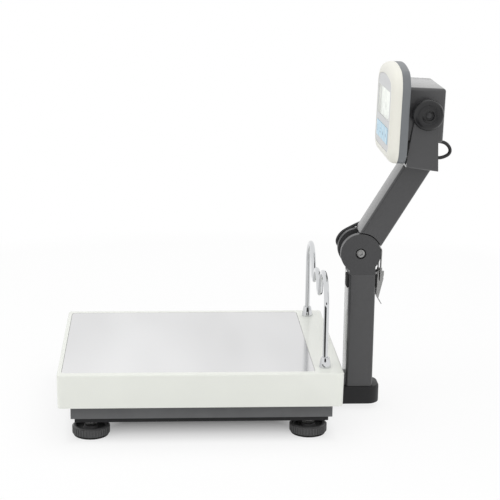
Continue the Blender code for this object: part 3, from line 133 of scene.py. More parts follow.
class KeyMark(Enum):
    """Plain signs on the keys, from left to right."""

    RING = 1
    BARS = 2
    WEDGE = 3
    DOT = 4


class Graph:
    """Short calls for adding and joining the nodes of one tree."""

    def __init__(self, tree: bpy.types.NodeTree) -> None:
        """Keep the tree that the calls work on."""
        self.tree = tree

    def add(self, kind: str, inputs: dict | None = None, **settings: object) -> bpy.types.Node:
        """Add a node.

        Args:
            kind: The node's type, such as ShaderNodeMath.
            inputs: A number, colour or output socket for each input, by name or place.
            settings: The node's own settings.

        Returns:
            The new node.
        """
        node = self.tree.nodes.new(kind)
        for name, value in settings.items():
            setattr(node, name, value)
        for key, value in (inputs or {}).items():
            if isinstance(value, bpy.types.NodeSocket):
                self.tree.links.new(value, node.inputs[key])
            else:
                node.inputs[key].default_value = value
        return node

    def group(self, tree: bpy.types.NodeTree, inputs: dict) -> bpy.types.Node:
        """Place a node group with its own values."""
        return self.add("ShaderNodeGroup", inputs, node_tree=tree)

    def noise(self, where: object, scale: object, detail: float,
              roughness: float = 0.5) -> bpy.types.NodeSocket:
        """Add a noise pattern and return its value."""
        sockets = {"Vector": where, "Scale": scale, "Detail": detail, "Roughness": roughness}
        return self.add("ShaderNodeTexNoise", sockets).outputs[0]

    def join(self, source: bpy.types.NodeSocket, target: bpy.types.NodeSocket) -> None:
        """Link one socket to another."""
        self.tree.links.new(source, target)

    def mix(self, share: object, first: object, second: object) -> bpy.types.NodeSocket:
        """Blend two colours by a share and return the result."""
        return self.add("ShaderNodeMix", {0: share, 6: first, 7: second}, data_type="RGBA").outputs[2]

    def span(self, value: object, before: Span, after: Span) -> bpy.types.NodeSocket:
        """Carry a value from one range to another and return the result."""
        sockets = {0: value, 1: before[0], 2: before[1], 3: after[0], 4: after[1]}
        return self.add("ShaderNodeMapRange", sockets).outputs[0]

    def math(self, operation: str, first: object, second: object = 0.0) -> bpy.types.NodeSocket:
        """Work out one sum on two values and return the result."""
        return self.add("ShaderNodeMath", {0: first, 1: second}, operation=operation).outputs[0]


def new_group(name: str, takes: Iterable[tuple[str, str, object]], gives: Iterable[str]) -> tuple:
    """Start a node group with named sockets.

    Args:
        name: The group's name.
        takes: Name, socket type and default of each input.
        gives: Name of each output, all of them values.

    Returns:
        The graph, its input node and its output node.
    """
    tree = bpy.data.node_groups.new(name, "ShaderNodeTree")
    for label, kind, default in takes:
        socket = tree.interface.new_socket(label, in_out="INPUT", socket_type=kind)
        if default is not None:
            socket.default_value = default
    for label in gives:
        tree.interface.new_socket(label, in_out="OUTPUT", socket_type="NodeSocketFloat")
    graph = Graph(tree)
    return graph, graph.add("NodeGroupInput"), graph.add("NodeGroupOutput")


@cache
def edge_wear_group() -> bpy.types.NodeTree:
    """Mask of rubbed edges, broken up so that it doesn't read as a line."""
    graph, entry, end = new_group(
        "edge_wear",
        (("Vector", "NodeSocketVector", None), ("Radius", "NodeSocketFloat", 0.0006),
         ("Amount", "NodeSocketFloat", 0.3)),
        ("Mask",))
    soft = graph.add("ShaderNodeBevel", {"Radius": entry.outputs["Radius"]}, samples=4).outputs[0]
    sharp = graph.add("ShaderNodeNewGeometry").outputs["Normal"]
    meeting = graph.add("ShaderNodeVectorMath", {0: soft, 1: sharp}, operation="DOT_PRODUCT").outputs["Value"]
    edge = graph.span(graph.math("SUBTRACT", 1.0, meeting), (0.02, 0.2), (0.0, 1.0))
    broken = graph.span(graph.noise(entry.outputs["Vector"], 260.0, 3.0), (0.42, 0.62), (0.15, 1.0))
    rubbed = graph.math("MULTIPLY", edge, broken)
    graph.join(graph.math("MULTIPLY", rubbed, entry.outputs["Amount"]), end.inputs["Mask"])
    return graph.tree


@cache
def grain_group() -> bpy.types.NodeTree:
    """Fine grain for relief, and slow patches for colour and gloss."""
    graph, entry, end = new_group(
        "surface_grain",
        (("Vector", "NodeSocketVector", None), ("Scale", "NodeSocketFloat", 900.0),
         ("Patches", "NodeSocketFloat", 30.0)),
        ("Grain", "Patches"))
    where = entry.outputs["Vector"]
    slow = graph.noise(where, entry.outputs["Patches"], 4.0, 0.6)
    graph.join(graph.noise(where, entry.outputs["Scale"], 2.0, 0.55), end.inputs["Grain"])
    graph.join(graph.span(slow, (0.3, 0.7), (0.0, 1.0)), end.inputs["Patches"])
    return graph.tree


@cache
def dust_group() -> bpy.types.NodeTree:
    """Mask of thin dust on faces that look up."""
    graph, entry, end = new_group(
        "settled_dust", (("Vector", "NodeSocketVector", None), ("Amount", "NodeSocketFloat", 0.1)), ("Mask",))
    facing = graph.add("ShaderNodeSeparateXYZ", {0: graph.add("ShaderNodeNewGeometry").outputs["Normal"]})
    upward = graph.span(facing.outputs["Z"], (0.55, 1.0), (0.0, 1.0))
    patchy = graph.span(graph.noise(entry.outputs["Vector"], 45.0, 5.0), (0.4, 0.7), (0.1, 1.0))
    settled = graph.math("MULTIPLY", upward, patchy)
    graph.join(graph.math("MULTIPLY", settled, entry.outputs["Amount"]), end.inputs["Mask"])
    return graph.tree


@cache
def brushing_group() -> bpy.types.NodeTree:
    """Fine parallel lines left by an abrasive belt, drawn out along one direction."""
    graph, entry, end = new_group(
        "belt_lines",
        (("Vector", "NodeSocketVector", None), ("Stretch", "NodeSocketVector", (1.0, 1.0, 1.0))),
        ("Lines", "Streaks"))
    drawn = graph.add("ShaderNodeVectorMath", {0: entry.outputs["Vector"], 1: entry.outputs["Stretch"]},
                      operation="MULTIPLY").outputs[0]
    graph.join(graph.noise(drawn, 1.0, 4.0, 0.7), end.inputs["Lines"])
    graph.join(graph.span(graph.noise(drawn, 0.16, 3.0, 0.6), (0.3, 0.7), (0.0, 1.0)), end.inputs["Streaks"])
    return graph.tree


def shade(colour: Colour, factor: float) -> tuple[float, ...]:
    """Return a colour made lighter or darker, with full alpha."""
    return (*(min(part * factor, 1.0) for part in colour), 1.0)


def start_look(name: str) -> tuple:
    """Start a material, and return it with its graph, its shader and its Object coordinates."""
    look = bpy.data.materials.new(name)
    look.use_nodes = True
    graph = Graph(look.node_tree)
    where = graph.add("ShaderNodeTexCoord").outputs["Object"]
    return look, graph, look.node_tree.nodes["Principled BSDF"], where


@dataclass(frozen=True)
class Finish:
    """A coated, moulded or milled surface.

    Attributes:
        name: The material's name.
        slot: Name of the record's material slot for this finish; not used.
        colour: Linear base colour.
        roughness: Middle of its roughness.
        gloss_change: How far the roughness wanders over the surface.
        metallic: 1 for bare metal.
        grain: Scale of the fine relief, per metre.
        relief: Strength of that relief.
        depth: Depth of that relief in metres.
        mottle: How far the colour wanders.
        patches: Scale of that wandering, per metre.
        wear: Share of the worn colour on rubbed edges.
        worn: The colour under the worn edge.
        dust: Share of dust on faces that look up.
        coat: Weight of a clear coat.
        coat_roughness: Roughness of that coat.
        specular: Specular level.
        painted_glow: Strength of a painted glow in its own colour, which lightens the surface though it is no
            lamp.
    """

    name: str
    slot: str
    colour: Colour
    roughness: float = 0.4
    gloss_change: float = 0.06
    metallic: float = 0.0
    grain: float = 900.0
    relief: float = 0.15
    depth: float = 0.0002
    mottle: float = 0.05
    patches: float = 30.0
    wear: float = 0.25
    worn: Colour = (0.5, 0.5, 0.5)
    dust: float = 0.05
    coat: float = 0.0
    coat_roughness: float = 0.12
    specular: float = 0.5
    painted_glow: float = 0.0

    @cache
    def material(self) -> bpy.types.Material:
        """Build the material the first time, and return it."""
        look, graph, shader, where = start_look(self.name)
        relief, patches = self.pattern(graph, where)
        # The wandering colour is random tone; on the stainless plate it is partly painted reflection.
        dark, pale = half(2 * self.mottle, 1.0)
        base = graph.mix(patches, shade(self.colour, dark), shade(self.colour, pale))
        worn = graph.group(edge_wear_group(), {"Vector": where, "Amount": self.wear}).outputs["Mask"]
        dust = graph.group(dust_group(), {"Vector": where, "Amount": self.dust}).outputs["Mask"]
        rubbed = graph.mix(worn, base, shade(self.worn, 1.0))
        graph.join(graph.mix(dust, rubbed, (0.6, 0.59, 0.56, 1.0)), shader.inputs["Base Color"])
        gloss = graph.span(patches, (0.0, 1.0), half(2 * self.gloss_change, self.roughness))
        graph.join(graph.math("ADD", gloss, graph.math("MULTIPLY", dust, 0.4)), shader.inputs["Roughness"])
        sockets = {"Strength": self.relief, "Distance": self.depth, "Height": relief}
        bump = graph.add("ShaderNodeBump", sockets)
        graph.join(bump.outputs[0], shader.inputs["Normal"])
        for socket, value in (("Metallic", self.metallic), ("Coat Weight", self.coat),
                              ("Coat Roughness", self.coat_roughness), ("Specular IOR Level", self.specular)):
            shader.inputs[socket].default_value = value
        # Painted glow: the surface gives off light in its own colour though it is no lamp.
        if self.painted_glow:
            shader.inputs["Emission Color"].default_value = shade(self.colour, 1.0)
            shader.inputs["Emission Strength"].default_value = self.painted_glow
        return look

    def pattern(self, graph: Graph, where: bpy.types.NodeSocket) -> tuple:
        """Return the relief and the patches that this finish has."""
        node = graph.group(grain_group(), {"Vector": where, "Scale": self.grain, "Patches": self.patches})
        return node.outputs["Grain"], node.outputs["Patches"]


@dataclass(frozen=True)
class BrushedFinish(Finish):
    """Metal with belt lines.

    Attributes:
        stretch: Scale of the lines along X, Y and Z, per metre.
    """

    stretch: Colour = (3000.0, 12.0, 3000.0)

    def pattern(self, graph: Graph, where: bpy.types.NodeSocket) -> tuple:
        """Return the belt lines as relief and their streaks as patches."""
        node = graph.group(brushing_group(), {"Vector": where, "Stretch": self.stretch})
        return node.outputs["Lines"], node.outputs["Streaks"]


@dataclass(frozen=True)
class ClearFinish:
    """Clear plastic with faint smears.

    Attributes:
        name: The material's name.
        slot: Name of the record's material slot for this finish; not used.
        roughness: Least roughness, where it is clean.
    """

    name: str
    slot: str
    roughness: float = 0.03

    @cache
    def material(self) -> bpy.types.Material:
        """Build the material the first time, and return it."""
        look, graph, shader, where = start_look(self.name)
        smears = graph.group(grain_group(), {"Vector": where, "Scale": 500.0, "Patches": 55.0})
        gloss = graph.span(smears.outputs["Patches"], (0.3, 1.0), (self.roughness, self.roughness + 0.09))
        graph.join(gloss, shader.inputs["Roughness"])
        tint = graph.mix(smears.outputs["Patches"], (0.97, 0.98, 0.96, 1.0), (0.93, 0.95, 0.92, 1.0))
        graph.join(tint, shader.inputs["Base Color"])
        shader.inputs["Transmission Weight"].default_value = 1.0
        shader.inputs["IOR"].default_value = 1.3
        return look


DECK_PAINT = Finish("deck_powder_coat", "deck_paint", (0.825, 0.84, 0.785), roughness=0.42, grain=1400.0,
    relief=0.08, mottle=0.012, patches=14.0, wear=0.1, worn=(0.82, 0.84, 0.8), dust=0.02, coat=0.5,
    coat_roughness=0.07)
# The plate's strong, slow mottle is partly random tone and partly painted reflection: light and dark bands such
# as a polished plate mirrors.
PLATE_STEEL = BrushedFinish("plate_stainless", "stainless", (0.725, 0.725, 0.73), roughness=0.13,
    gloss_change=0.02, metallic=1.0, relief=0.05, depth=0.0001, mottle=0.17, wear=0.3,
    worn=(0.75, 0.75, 0.75), dust=0.0, stretch=(5.0, 20.0, 20.0))
CHROME = Finish("rail_chrome", "chrome", (0.66, 0.67, 0.68), roughness=0.05, gloss_change=0.02,
    metallic=1.0, grain=350.0, relief=0.01, mottle=0.02, wear=0.0, dust=0.0)
STEEL = BrushedFinish("zinc_plate", "zinc_steel", (0.33, 0.33, 0.325), roughness=0.3, gloss_change=0.08,
    metallic=1.0, relief=0.1, depth=0.00006, mottle=0.08, wear=0.35, worn=(0.5, 0.5, 0.49), dust=0.0,
    stretch=(400.0, 400.0, 2600.0))
DARK_STEEL = BrushedFinish("blackened_steel", "zinc_steel", (0.07, 0.07, 0.072), roughness=0.32,
    metallic=1.0, relief=0.08, depth=0.00006, mottle=0.08, wear=0.3, worn=(0.4, 0.4, 0.4), dust=0.0,
    stretch=(400.0, 400.0, 2600.0))
COLUMN_PAINT = Finish("column_satin_coat", "dark_paint", (0.05, 0.05, 0.052), roughness=0.4, grain=1600.0,
    relief=0.08, mottle=0.05, patches=20.0, wear=0.35, worn=(0.25, 0.25, 0.25), dust=0.015, coat=1.0,
    coat_roughness=0.16, specular=0.15)
CAST_PAINT = Finish("casting_coat", "dark_casting", (0.052, 0.052, 0.054), roughness=0.42, grain=1100.0,
    relief=0.2, mottle=0.06, wear=0.15, worn=(0.16, 0.16, 0.16), dust=0.01, coat=0.15, coat_roughness=0.3,
    specular=0.4)
FRAME_PAINT = Finish("frame_coat", "dark_paint", (0.125, 0.127, 0.13), roughness=0.45, grain=1300.0,
    relief=0.14, mottle=0.05, wear=0.2, worn=(0.3, 0.3, 0.3), dust=0.02)
HOUSING_PAINT = Finish("housing_coat", "housing_paint", (0.062, 0.062, 0.064), roughness=0.4, grain=1500.0,
    relief=0.1, mottle=0.04, patches=18.0, wear=0.3, worn=(0.25, 0.25, 0.25), dust=0.015, coat=1.0,
    coat_roughness=0.18, specular=0.15)
BLACK_PLASTIC = Finish("black_moulding", "black_plastic", (0.013, 0.013, 0.014), roughness=0.46,
    grain=1900.0, relief=0.22, mottle=0.1, wear=0.3, worn=(0.07, 0.07, 0.07), dust=0.01, specular=0.3)
FOOT_PLASTIC = Finish("foot_moulding", "black_plastic", (0.07, 0.07, 0.071), roughness=0.42, grain=1900.0,
    relief=0.2, mottle=0.1, wear=0.35, worn=(0.14, 0.14, 0.14), dust=0.02)
KNOB_PLASTIC = Finish("knob_moulding", "black_plastic", (0.014, 0.014, 0.015), roughness=0.3, grain=1700.0,
    relief=0.1, mottle=0.1, wear=0.3, worn=(0.08, 0.08, 0.08), dust=0.008, specular=0.4)
RUBBER = Finish("black_rubber", "rubber", (0.016, 0.016, 0.016), roughness=0.78, grain=2200.0, relief=0.3,
    mottle=0.12, wear=0.2, worn=(0.05, 0.05, 0.05), dust=0.04, specular=0.3)
ALUMINIUM = BrushedFinish("milled_aluminium", "aluminium", (0.62, 0.63, 0.64), roughness=0.38, metallic=1.0,
    relief=0.15, depth=0.00008, mottle=0.05, wear=0.2, worn=(0.8, 0.8, 0.8), dust=0.0,
    stretch=(2200.0, 20.0, 2200.0))
CREAM = Finish("cream_moulding", "cream_plastic", (0.83, 0.82, 0.745), roughness=0.36, grain=1800.0,
    relief=0.14, mottle=0.012, patches=12.0, wear=0.08, worn=(0.87, 0.86, 0.8), dust=0.01)
GREY_PLASTIC = Finish("grey_moulding", "grey_plastic", (0.175, 0.185, 0.195), roughness=0.42, grain=1700.0,
    relief=0.18, mottle=0.05, wear=0.15, worn=(0.3, 0.31, 0.32), dust=0.015)
FACE_FILM = Finish("face_film", "face_grey", (0.56, 0.57, 0.575), roughness=0.34, grain=2600.0, relief=0.06,
    mottle=0.02, wear=0.05, worn=(0.6, 0.61, 0.62), dust=0.0, coat=0.2)
KEY_BLUE = Finish("key_film", "key_blue", (0.5, 0.73, 0.87), roughness=0.34, grain=2400.0, relief=0.06,
    mottle=0.03, wear=0.1, worn=(0.65, 0.8, 0.88), dust=0.0, coat=0.15)
KEY_PRINT = Finish("key_mark", "face_grey", (0.2, 0.36, 0.5), roughness=0.4, grain=2400.0, relief=0.04,
    mottle=0.03, wear=0.0, dust=0.0)
# The LCD ground carries a painted glow that lightens it behind the clear window.
LCD_GREY = Finish("lcd_ground", "lcd_grey", (0.82, 0.85, 0.8), roughness=0.4, grain=900.0, relief=0.03,
    mottle=0.02, patches=40.0, wear=0.0, dust=0.0, painted_glow=0.55)
LCD_GLASS = ClearFinish("lcd_window", "lcd_glass")
BOARD = Finish("board_mask", "board_green", (0.02, 0.14, 0.055), roughness=0.3, grain=700.0, relief=0.2,
    mottle=0.15, patches=90.0, wear=0.1, dust=0.0, coat=0.3)
WRAP = Finish("pack_shrink_wrap", "pack_wrap", (0.04, 0.1, 0.28), roughness=0.25, grain=300.0, relief=0.3,
    mottle=0.08, wear=0.1, worn=(0.2, 0.3, 0.5), dust=0.0)
JACKET = Finish("cable_jacket", "cable_jacket", (0.02, 0.02, 0.021), roughness=0.42, grain=1500.0,
    relief=0.14, mottle=0.12, wear=0.0, dust=0.015)

AnyFinish = Finish | ClearFinish


def along(axis: int) -> Test:
    """Return a test for edges that run along an axis."""

    def test(edge: bmesh.types.BMEdge) -> bool:
        """Whether the edge runs along the axis."""
        run = edge.verts[1].co - edge.verts[0].co
        return abs(run[axis]) > 0.999 * run.length

    return test


def lying_at(axis: int, value: float) -> Test:
    """Return a test for edges that lie at one height on an axis."""

    def test(edge: bmesh.types.BMEdge) -> bool:
        """Whether both ends of the edge lie there."""
        return all(abs(vert.co[axis] - value) < 0.01 for vert in edge.verts)

    return test


def half(size: float, middle: float = 0.0) -> Span:
    """Return the low and high ends of a size about its middle."""
    return (middle - size / 2, middle + size / 2)


def onto_arm() -> Matrix:
    """Return the placing that carries work built upright at the origin onto the leaning arm."""
    return Matrix.Translation(PIVOT) @ Matrix.Rotation(-LEAN, 4, "X")


def onto_head() -> Matrix:
    """Return the placing that carries work built about the tilt axis onto the display head."""
    return Matrix.Translation(TILT_AXIS) @ Matrix.Rotation(-LEAN_BACK, 4, "X")


def arm_point(s: float, p: float, x: float = 0.0) -> Vector:
    """Return the place of a point at s along the arm and p behind its axis line."""
    return onto_arm() @ Vector((x, p, s))


def head_point(x: float, y: float, z: float) -> Vector:
    """Return the place of a point measured from the tilt axis."""
    return onto_head() @ Vector((x, y, z))


def yoke_line(y: float) -> float:
    """Return the height of the underside of the yoke's base plate."""
    return YOKE_FRONT_Z + YOKE_SLOPE * (y - YOKE_FRONT)


def yoke_up() -> Vector:
    """Return the direction square to the yoke's base plate."""
    return Vector((0.0, -YOKE_SLOPE, 1.0)).normalized()


def yoke_seat() -> Vector:
    """Return the place of the cable's hole on the underside of the yoke's base plate."""
    return Vector((0, RING_Y, yoke_line(RING_Y)))


def arc(centre: Vector, u: Vector, v: Vector, radius: float, sweep: Span, steps: int) -> list[Vector]:
    """Return points of an arc in the plane of two unit vectors, its angles in degrees."""
    points = []
    for i in range(steps + 1):
        a = math.radians(sweep[0] + (sweep[1] - sweep[0]) * i / steps)
        points.append(centre + u * (radius * math.cos(a)) + v * (radius * math.sin(a)))
    return points


def crowned_outline(wide: float, low: float, high: float, crown: float, corner: float, foot: float,
                    inset: float = 0.0) -> list[tuple[float, float]]:
    """Return an outline in X and Z whose top edge is a shallow arc.

    Args:
        wide: Half its width.
        low: Height of its lower edge.
        high: Height of the middle of its top edge.
        crown: Radius of the top edge.
        corner: Radius of the upper corners.
        foot: Radius of the lower corners.
        inset: How far it is drawn in all round.

    Returns:
        The points of the outline, in order.
    """
    wide, low, high = wide - inset, low + inset, high - inset
    crown, corner, foot = crown - inset, corner - inset, foot - inset
    lean = math.asin((wide - corner) / (crown - corner))
    middle = Vector((0, 0, high - crown))
    hub = middle + Vector((wide - corner, 0, (crown - corner) * math.cos(lean)))
    meet = 90 - math.degrees(lean)
    line = arc(Vector((wide - foot, 0, low + foot)), ACROSS, UP, foot, (-90, 0), 12)
    line += arc(hub, ACROSS, UP, corner, (0, meet), 12)
    line += arc(middle, ACROSS, UP, crown, (meet, 90), 8)[1:]
    points = [(p.x, p.z) for p in line]
    return points + [(-x, z) for x, z in reversed(points[:-1])]


def smooth_curve(points: Sequence, steps: int = 8) -> list[Vector]:
    """Return a smooth curve through given points, with a straight first and last stretch."""
    points = [Vector(p) for p in points]
    inner = points[1:-1]
    ends = [2 * inner[0] - inner[1]] + inner + [2 * inner[-1] - inner[-2]]
    curve = [points[0]]
    for a, b, c, d in zip(ends, ends[1:], ends[2:], ends[3:]):
        for i in range(steps):
            t = i / steps
            curve.append(0.5 * (2 * b + (c - a) * t + (2 * a - 5 * b + 4 * c - d) * t * t
                                + (3 * b - a - 3 * c + d) * t * t * t))
    return curve + points[-2:]


class Work:
    """A workpiece in millimetres on the drawing, before it becomes a piece."""

    def __init__(self) -> None:
        """Start with nothing on the bench."""
        self.bm = bmesh.new()

    def block(self, x: Span, y: Span, z: Span) -> "Work":
        """Add a block given by its spans."""
        made = bmesh.ops.create_cube(self.bm, size=1.0)["verts"]
        bmesh.ops.scale(self.bm, vec=(x[1] - x[0], y[1] - y[0], z[1] - z[0]), verts=made)
        bmesh.ops.translate(self.bm, vec=(sum(x) / 2, sum(y) / 2, sum(z) / 2), verts=made)
        return self

    def carried(self, corners: Iterable[Sequence[float]], way: Sequence[float]) -> "Work":
        """Add a flat body: one face with these corners, carried along a way."""
        face = self.bm.faces.new([self.bm.verts.new(corner) for corner in corners])
        made = bmesh.ops.extrude_face_region(self.bm, geom=[face])["geom"]
        moved = [item for item in made if isinstance(item, bmesh.types.BMVert)]
        bmesh.ops.translate(self.bm, vec=way, verts=moved)
        bmesh.ops.recalc_face_normals(self.bm, faces=self.bm.faces)
        return self

    def slab(self, outline: Sequence[tuple[float, float]], x: Span) -> "Work":
        """Add a flat body whose outline is in Y and Z, carried across X."""
        return self.carried([(x[0], y, z) for y, z in outline], (x[1] - x[0], 0, 0))

    def panel(self, outline: Sequence[tuple[float, float]], y: Span) -> "Work":
        """Add a flat body whose outline is in X and Z, carried along Y."""
        return self.carried([(x, y[0], z) for x, z in outline], (0, y[1] - y[0], 0))

    def rod(self, radius: float, length: float, centre: Vector | Sequence, axis: Vector | Sequence,
            steps: int = 32) -> "Work":
        """Add a plain round bar, which also serves to cut a hole."""
        return self.turned(((0, radius), (length, radius)), centre, axis, steps)

    def turned(self, profile: Sequence[tuple[float, float]], centre: Vector | Sequence, axis: Vector | Sequence,
               steps: int = 64, turn: float = 0.0, ring: bool = False) -> "Work":
        """Add a turned body.

        Args:
            profile: Pairs of distance along the axis and radius.
            centre: Where the axis starts.
            axis: Its direction.
            steps: Number of faces round it.
            turn: Angle of the first one.
            ring: Whether the profile closes on itself, as a ring's does.

        Returns:
            This workpiece.
        """
        spun = bmesh.new()
        points = list(profile)
        if not ring:
            points = [(points[0][0], 0.0)] + points + [(points[-1][0], 0.0)]
        verts = [spun.verts.new((radius, 0.0, run)) for run, radius in points]
        edges = [spun.edges.new(pair) for pair in zip(verts, verts[1:])]
        if ring:
            edges.append(spun.edges.new((verts[-1], verts[0])))
        bmesh.ops.spin(spun, geom=verts + edges, cent=(0, 0, 0), axis=(0, 0, 1), angle=2 * math.pi,
                       steps=steps,
                       use_merge=True)
        bmesh.ops.remove_doubles(spun, verts=spun.verts, dist=1e-4)
        bmesh.ops.recalc_face_normals(spun, faces=spun.faces)
        aim = UP.rotation_difference(Vector(axis).normalized()).to_matrix().to_4x4()
        place = Matrix.Translation(Vector(centre)) @ aim @ Matrix.Rotation(turn, 4, "Z")
        bmesh.ops.transform(spun, matrix=place, verts=spun.verts)
        return self.take_in(spun)

    def wire(self, points: Sequence[Vector], radius: float, roundness: int = 5) -> "Work":
        """Add a round wire along a list of points."""
        line = bpy.data.curves.new("wire", "CURVE")
        line.dimensions = "3D"
        line.bevel_depth = radius
        line.bevel_resolution = roundness
        line.use_fill_caps = True
        run = line.splines.new("POLY")
        run.points.add(len(points) - 1)
        for target, point in zip(run.points, points):
            target.co = (*point, 1.0)
        holder = bpy.data.objects.new("wire", line)
        bpy.context.scene.collection.objects.link(holder)
        graph = bpy.context.evaluated_depsgraph_get()
        mesh = bpy.data.meshes.new_from_object(holder.evaluated_get(graph))
        self.bm.from_mesh(mesh)
        bpy.data.objects.remove(holder)
        bpy.data.curves.remove(line)
        bpy.data.meshes.remove(mesh)
        bmesh.ops.remove_doubles(self.bm, verts=self.bm.verts, dist=1e-4)
        bmesh.ops.recalc_face_normals(self.bm, faces=self.bm.faces)
        return self

    def from_node(self, name: str) -> "Work":
        """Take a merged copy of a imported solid, with its flat faces made whole."""
        self.bm.from_mesh(frame["nodes"][name].data)
        bmesh.ops.remove_doubles(self.bm, verts=self.bm.verts, dist=1e-6)
        bmesh.ops.scale(self.bm, vec=(1 / MM, 1 / MM, 1 / MM), verts=self.bm.verts)
        bmesh.ops.translate(self.bm, vec=(0, ORIGIN_Y, 0), verts=self.bm.verts)
        bmesh.ops.dissolve_limit(self.bm, angle_limit=math.radians(0.6), verts=self.bm.verts,
                                 edges=self.bm.edges)
        return self

    def take_in(self, other: bmesh.types.BMesh) -> "Work":
        """Add the faces of another bmesh, and drop that bmesh."""
        mesh = bpy.data.meshes.new("part")
        other.to_mesh(mesh)
        other.free()
        self.bm.from_mesh(mesh)
        bpy.data.meshes.remove(mesh)
        return self

    def rounded(self, pick: Test, radius: float, steps: int = 4) -> "Work":
        """Round the edges that pass a test."""
        edges = [edge for edge in self.bm.edges if pick(edge)]
        bmesh.ops.bevel(self.bm, geom=edges, offset=radius, offset_type="OFFSET", segments=steps, profile=0.5,
                        affect="EDGES", material=-1, clamp_overlap=True)
        return self

    def drawn_in(self, axis: int, value: float, amount: Vector) -> "Work":
        """Draw the points at one height in towards their middle, by an amount on each axis."""
        verts = [vert for vert in self.bm.verts if abs(vert.co[axis] - value) < 0.01]
        for k in range(3):
            low = min(vert.co[k] for vert in verts)
            high = max(vert.co[k] for vert in verts)
            if amount[k] and high - low > 0.01:
                factor = [1.0, 1.0, 1.0]
                factor[k] = 1.0 - 2 * amount[k] / (high - low)
                middle = Vector((0, 0, 0))
                middle[k] = (low + high) / 2
                bmesh.ops.scale(self.bm, vec=factor, space=Matrix.Translation(-middle), verts=verts)
        return self

    def placed(self, place: Matrix) -> "Work":
        """Carry the work to its place."""
        bmesh.ops.transform(self.bm, matrix=place, verts=self.bm.verts)
        return self

    def as_object(self, name: str) -> bpy.types.Object:
        """Return the work as an object in the scene, and free its bmesh."""
        mesh = bpy.data.meshes.new(name)
        self.bm.to_mesh(mesh)
        self.bm.free()
        made = bpy.data.objects.new(name, mesh)
        bpy.context.scene.collection.objects.link(made)
        return made

    def joined(self, how: Joining, *tools: "Work") -> "Work":
        """Cut the tools from this work, or add them to it.

        Args:
            how: Whether they are cut or added.
            tools: The other workpieces, which are used up.

        Returns:
            This workpiece, with the result in it.
        """
        base = self.as_object("work")
        cutters = [tool.as_object("tool") for tool in tools]
        for cutter in cutters:
            step = base.modifiers.new("joining", "BOOLEAN")
            step.operation = how.value
            step.solver = "EXACT"
            step.object = cutter
        graph = bpy.context.evaluated_depsgraph_get()
        mesh = bpy.data.meshes.new_from_object(base.evaluated_get(graph))
        self.bm = bmesh.new()
        self.bm.from_mesh(mesh)
        for item in [base] + cutters:
            bpy.data.meshes.remove(item.data)
        bpy.data.meshes.remove(mesh)
        bmesh.ops.remove_doubles(self.bm, verts=self.bm.verts, dist=1e-4)
        return self

    def finish(self, name: str, look: AnyFinish, stands_for: Sequence[str] = (), body: str = "",
               edge: float = 0.3,
               smooth: float = 32.0, drawn: bool = True) -> bpy.types.Object:
        """Turn the work into a finished piece in the row's frame.

        Args:
            name: The piece's name.
            look: Its finish.
            stands_for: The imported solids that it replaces.
            body: The body that it rides on, where it replaces nothing.
            edge: Radius of the small rounding on its sharp edges, or 0 for none.
            smooth: Angle in degrees under which faces are shaded as one.
            drawn: Whether its body carries it, which a piece across a joint doesn't have.

        Returns:
            The piece's object.
        """
        bmesh.ops.scale(self.bm, vec=(MM, MM, MM), verts=self.bm.verts)
        bmesh.ops.translate(self.bm, vec=(0, -ORIGIN_Y * MM, 0), verts=self.bm.verts)
        made = self.as_object(name)
        made.data.materials.append(look.material())
        made.data.shade_smooth()
        made.data.set_sharp_from_angle(angle=math.radians(smooth))
        if edge:
            step = made.modifiers.new("edges", "BEVEL")
            step.width = edge * MM
            step.segments = 2
            step.limit_method = "ANGLE"
            step.angle_limit = math.radians(smooth)
            step.harden_normals = True
            step.use_clamp_overlap = True
        if stands_for:
            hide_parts(*stands_for)
        if drawn:
            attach(made, body or frame["nodes"][stands_for[0]]["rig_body"])
        log.info("%s: %d faces", name, len(made.data.polygons))
        return made


def body_of(name: str) -> str:
    """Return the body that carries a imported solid."""
    return frame["nodes"][name]["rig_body"]


def dress(look: AnyFinish, *names: str) -> None:
    """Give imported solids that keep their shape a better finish."""
    for name in names:
        node = frame["nodes"][name]
        if not node.material_slots:
            node.data.materials.append(look.material())
        for slot in node.material_slots:
            slot.material = look.material()
        log.info("%s: dressed as it is", name)


def refine(name: str, look: AnyFinish, edge: float = 0.4, smooth: float = 32.0) -> None:
    """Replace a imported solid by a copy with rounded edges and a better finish."""
    Work().from_node(name).finish("fine_" + name, look, (name,), edge=edge, smooth=smooth)


def button_screw(work: Work, seat: Vector, axis: Vector, radius: float, height: float) -> Work:
    """Add a domed screw head that stands on its seat, with a six-sided socket drawn into it."""
    socket = radius * 0.42
    profile = ((-0.5, radius), (0.0, radius), (height * 0.35, radius * 0.97), (height * 0.75, radius * 0.8),
               (height, radius * 0.52), (height, socket), (height * 0.3, socket))
    return work.turned(profile, seat, axis, 24)


